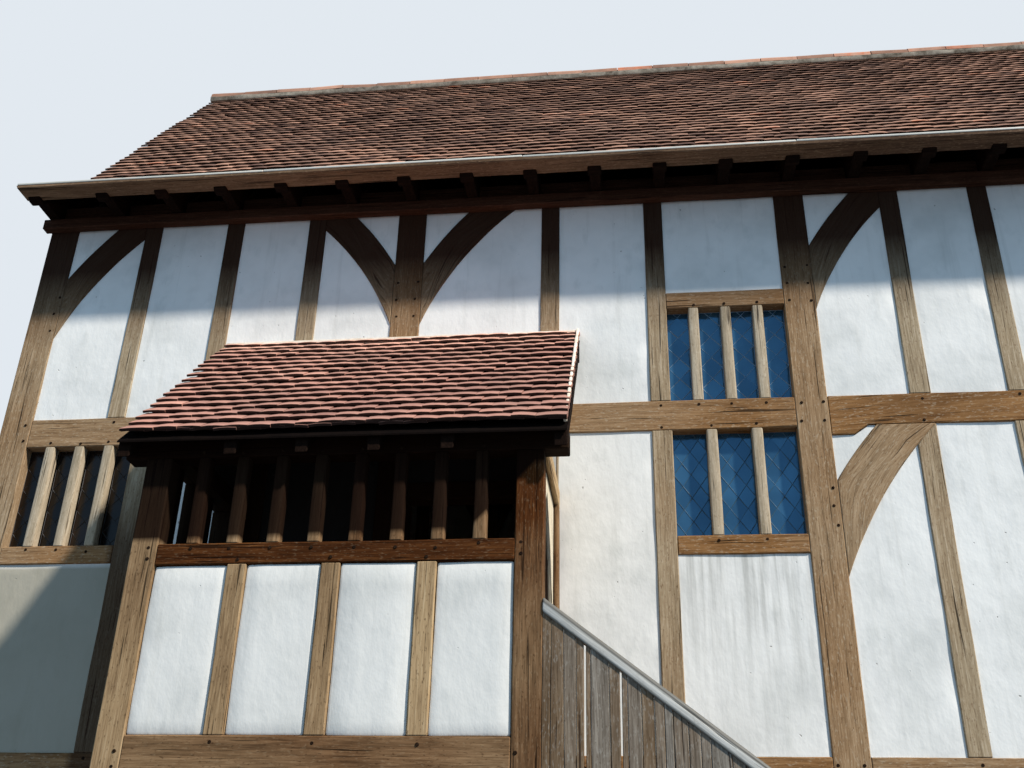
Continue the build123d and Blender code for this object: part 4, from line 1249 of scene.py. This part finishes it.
finishes["handrail"] = oak(
    "silvered oak", ("#aba79c", "#d3d0c7", "#e6e4dc"), ("#b5b2a8", "#dad8d0", "#eae8e1"), rail_crown,
    smoked_and_shaded="#403d35", dark="#7c776c", fleck=0.1, gloss=0.3, rough=0.6,
)
rail = copy_of("handrail", "handrail_oak")
round_edges(rail, 0.012, segments=2, sharper_than=50)
divide_long(rail, 0.4)
push_about(rail, hewn_waves, 0.005)
lay_grain(rail, 0.7, 54)
settle(rail, "oak_weathered", finishes["handrail"], "handrail")

# %% [markdown]
# ## Gutter lip and brackets
# The eave carries a shallow wooden gutter. Its outer edge is capped with pale metal in lengths that don't
# quite line up, and a dark bracket under each sprocket holds it. One length of lip is a cube, stretched and
# bevelled, and the last length of a row is cut short to end with the gutter.

# %% Gutter lip
finishes["gutter_lip"] = smooth_finish("painted metal lip", "#cdcbc0", "#dad7cc", 0.6, 0.0, 1.45)
gutter_low, gutter_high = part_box("gutters")
lip_length, lip_joint, lip_width, lip_height = 2.3, 0.004, 0.034, 0.022
lip_from_edge, lip_rise = 0.013, 0.042
random = np.random.default_rng(61)
lip = start_from(bpy.ops.mesh.primitive_cube_add, "lip_pattern", size=1)
lip.scale = (lip_length - lip_joint, lip_width, lip_height)
keep_in_mesh(lip)
round_edges(lip, 0.007, segments=3)
lip_matrices = []
for face in (gutter_low.y + lip_from_edge, gutter_high.y - lip_from_edge):
    for middle in np.arange(gutter_low.x + lip_length / 2, gutter_high.x, lip_length):
        reach = min(lip_length, gutter_high.x - (middle - lip_length / 2))
        level = gutter_low.z + lip_rise + random.uniform(-0.003, 0.003)
        place = Vector((middle - (lip_length - reach) / 2, face, level))
        lip_matrices.append(Matrix.Translation(place) @ Matrix.Rotation(random.normal(0, 0.0012), 4, "Y")
                            @ Matrix.Diagonal((reach / lip_length, 1, 1, 1)))
lips = copies("gutter_lips", lip, lip_matrices, random.uniform(0, 1, len(lip_matrices)))
settle(lips, "oak_eave", finishes["gutter_lip"])
bpy.data.objects.remove(lip)

# %% Gutter brackets
bracket_size, bracket_splay = (0.12, 0.11, 0.036), 0.04
bracket = start_from(bpy.ops.mesh.primitive_cube_add, "bracket_pattern", size=1)
bracket.scale = bracket_size
keep_in_mesh(bracket)
open_edit(bracket, "VERT", (corners_of(bracket)[:, 2] < 0) & (corners_of(bracket)[:, 1] < 0))
bpy.ops.transform.translate(value=(0, bracket_splay, 0))
close_edit()
round_edges(bracket, 0.01, segments=2)
bracket_matrices = []
for low, high in part_boxes("sprockets"):
    in_front = low[1] < house_middle
    turn_round = Matrix.Rotation(0 if in_front else math.pi, 4, "Z")
    y = low[1] - 0.02 if in_front else high[1] + 0.02
    place = ((low[0] + high[0]) / 2, y, gutter_low.z - 0.014)
    bracket_matrices.append(Matrix.Translation(place) @ turn_round)
brackets = copies("gutter_brackets", bracket, bracket_matrices)
lay_grain(brackets, 0.1, 62)
# The brackets take the sprockets' near black: painted shade under the eave.
settle(brackets, "oak_eave", finishes["sprocket_oak"])
bpy.data.objects.remove(bracket)

# %% [markdown]
# ## Plinth
# The sills stand on a low wall of squared stone, so that the oak stays out of the wet. Its joints run in
# courses of about 150 mm, with mortar between the blocks. The blocks are a brick pattern in the material,
# with a bump at the joints, because the wall is low and its stones lie flush.

# %% Plinth
def stone(name):
    """Squared limestone: a brick pattern of uneven blocks, cloudy and pitted."""
    material, tree = new_material(name)
    place = add(tree, "TexCoord", out="Object")
    x, y, z = (add(tree, "SeparateXYZ", place, out=axis) for axis in "XYZ")
    round_corner = add(tree, "CombineXYZ", add(tree, "Math", x, y, operation="ADD"), z)
    blocks = add(tree, "TexBrick", out="Color", inputs={
        "Vector": round_corner, "Color1": "#a39a88", "Color2": "#8b8272", "Mortar": "#bcb4a3", "Scale": 1.0,
        "Mortar Size": 0.007, "Brick Width": 0.36, "Row Height": 0.15,
    })
    joint_share = blocks.node.outputs["Fac"]
    clouds = add(tree, "TexNoise", inputs={"Vector": place, "Scale": 8.0, "Detail": 6.0})
    shade = add(tree, "ValToRGB", clouds, stops=((0.3, "#6f675a"), (0.7, "#ffffff")))
    colour = add(tree, "Mix", inputs={0: 0.6, 6: blocks, 7: shade}, data_type="RGBA", blend_type="MULTIPLY",
                 out=2)
    relief = add(tree, "Math", joint_share, -1.0, clouds, operation="MULTIPLY_ADD")
    close_finish(tree, colour, relief, 0.6, 0.012, {"Roughness": 0.9})
    return material


finishes["plinth_stone"] = stone("squared stone")
for node in ("long_plinths", "end_plinths"):
    piece = copy_of(node, node + "_stone")
    round_edges(piece, 0.015, segments=2)
    settle(piece, "plinth_stone", finishes["plinth_stone"], node)
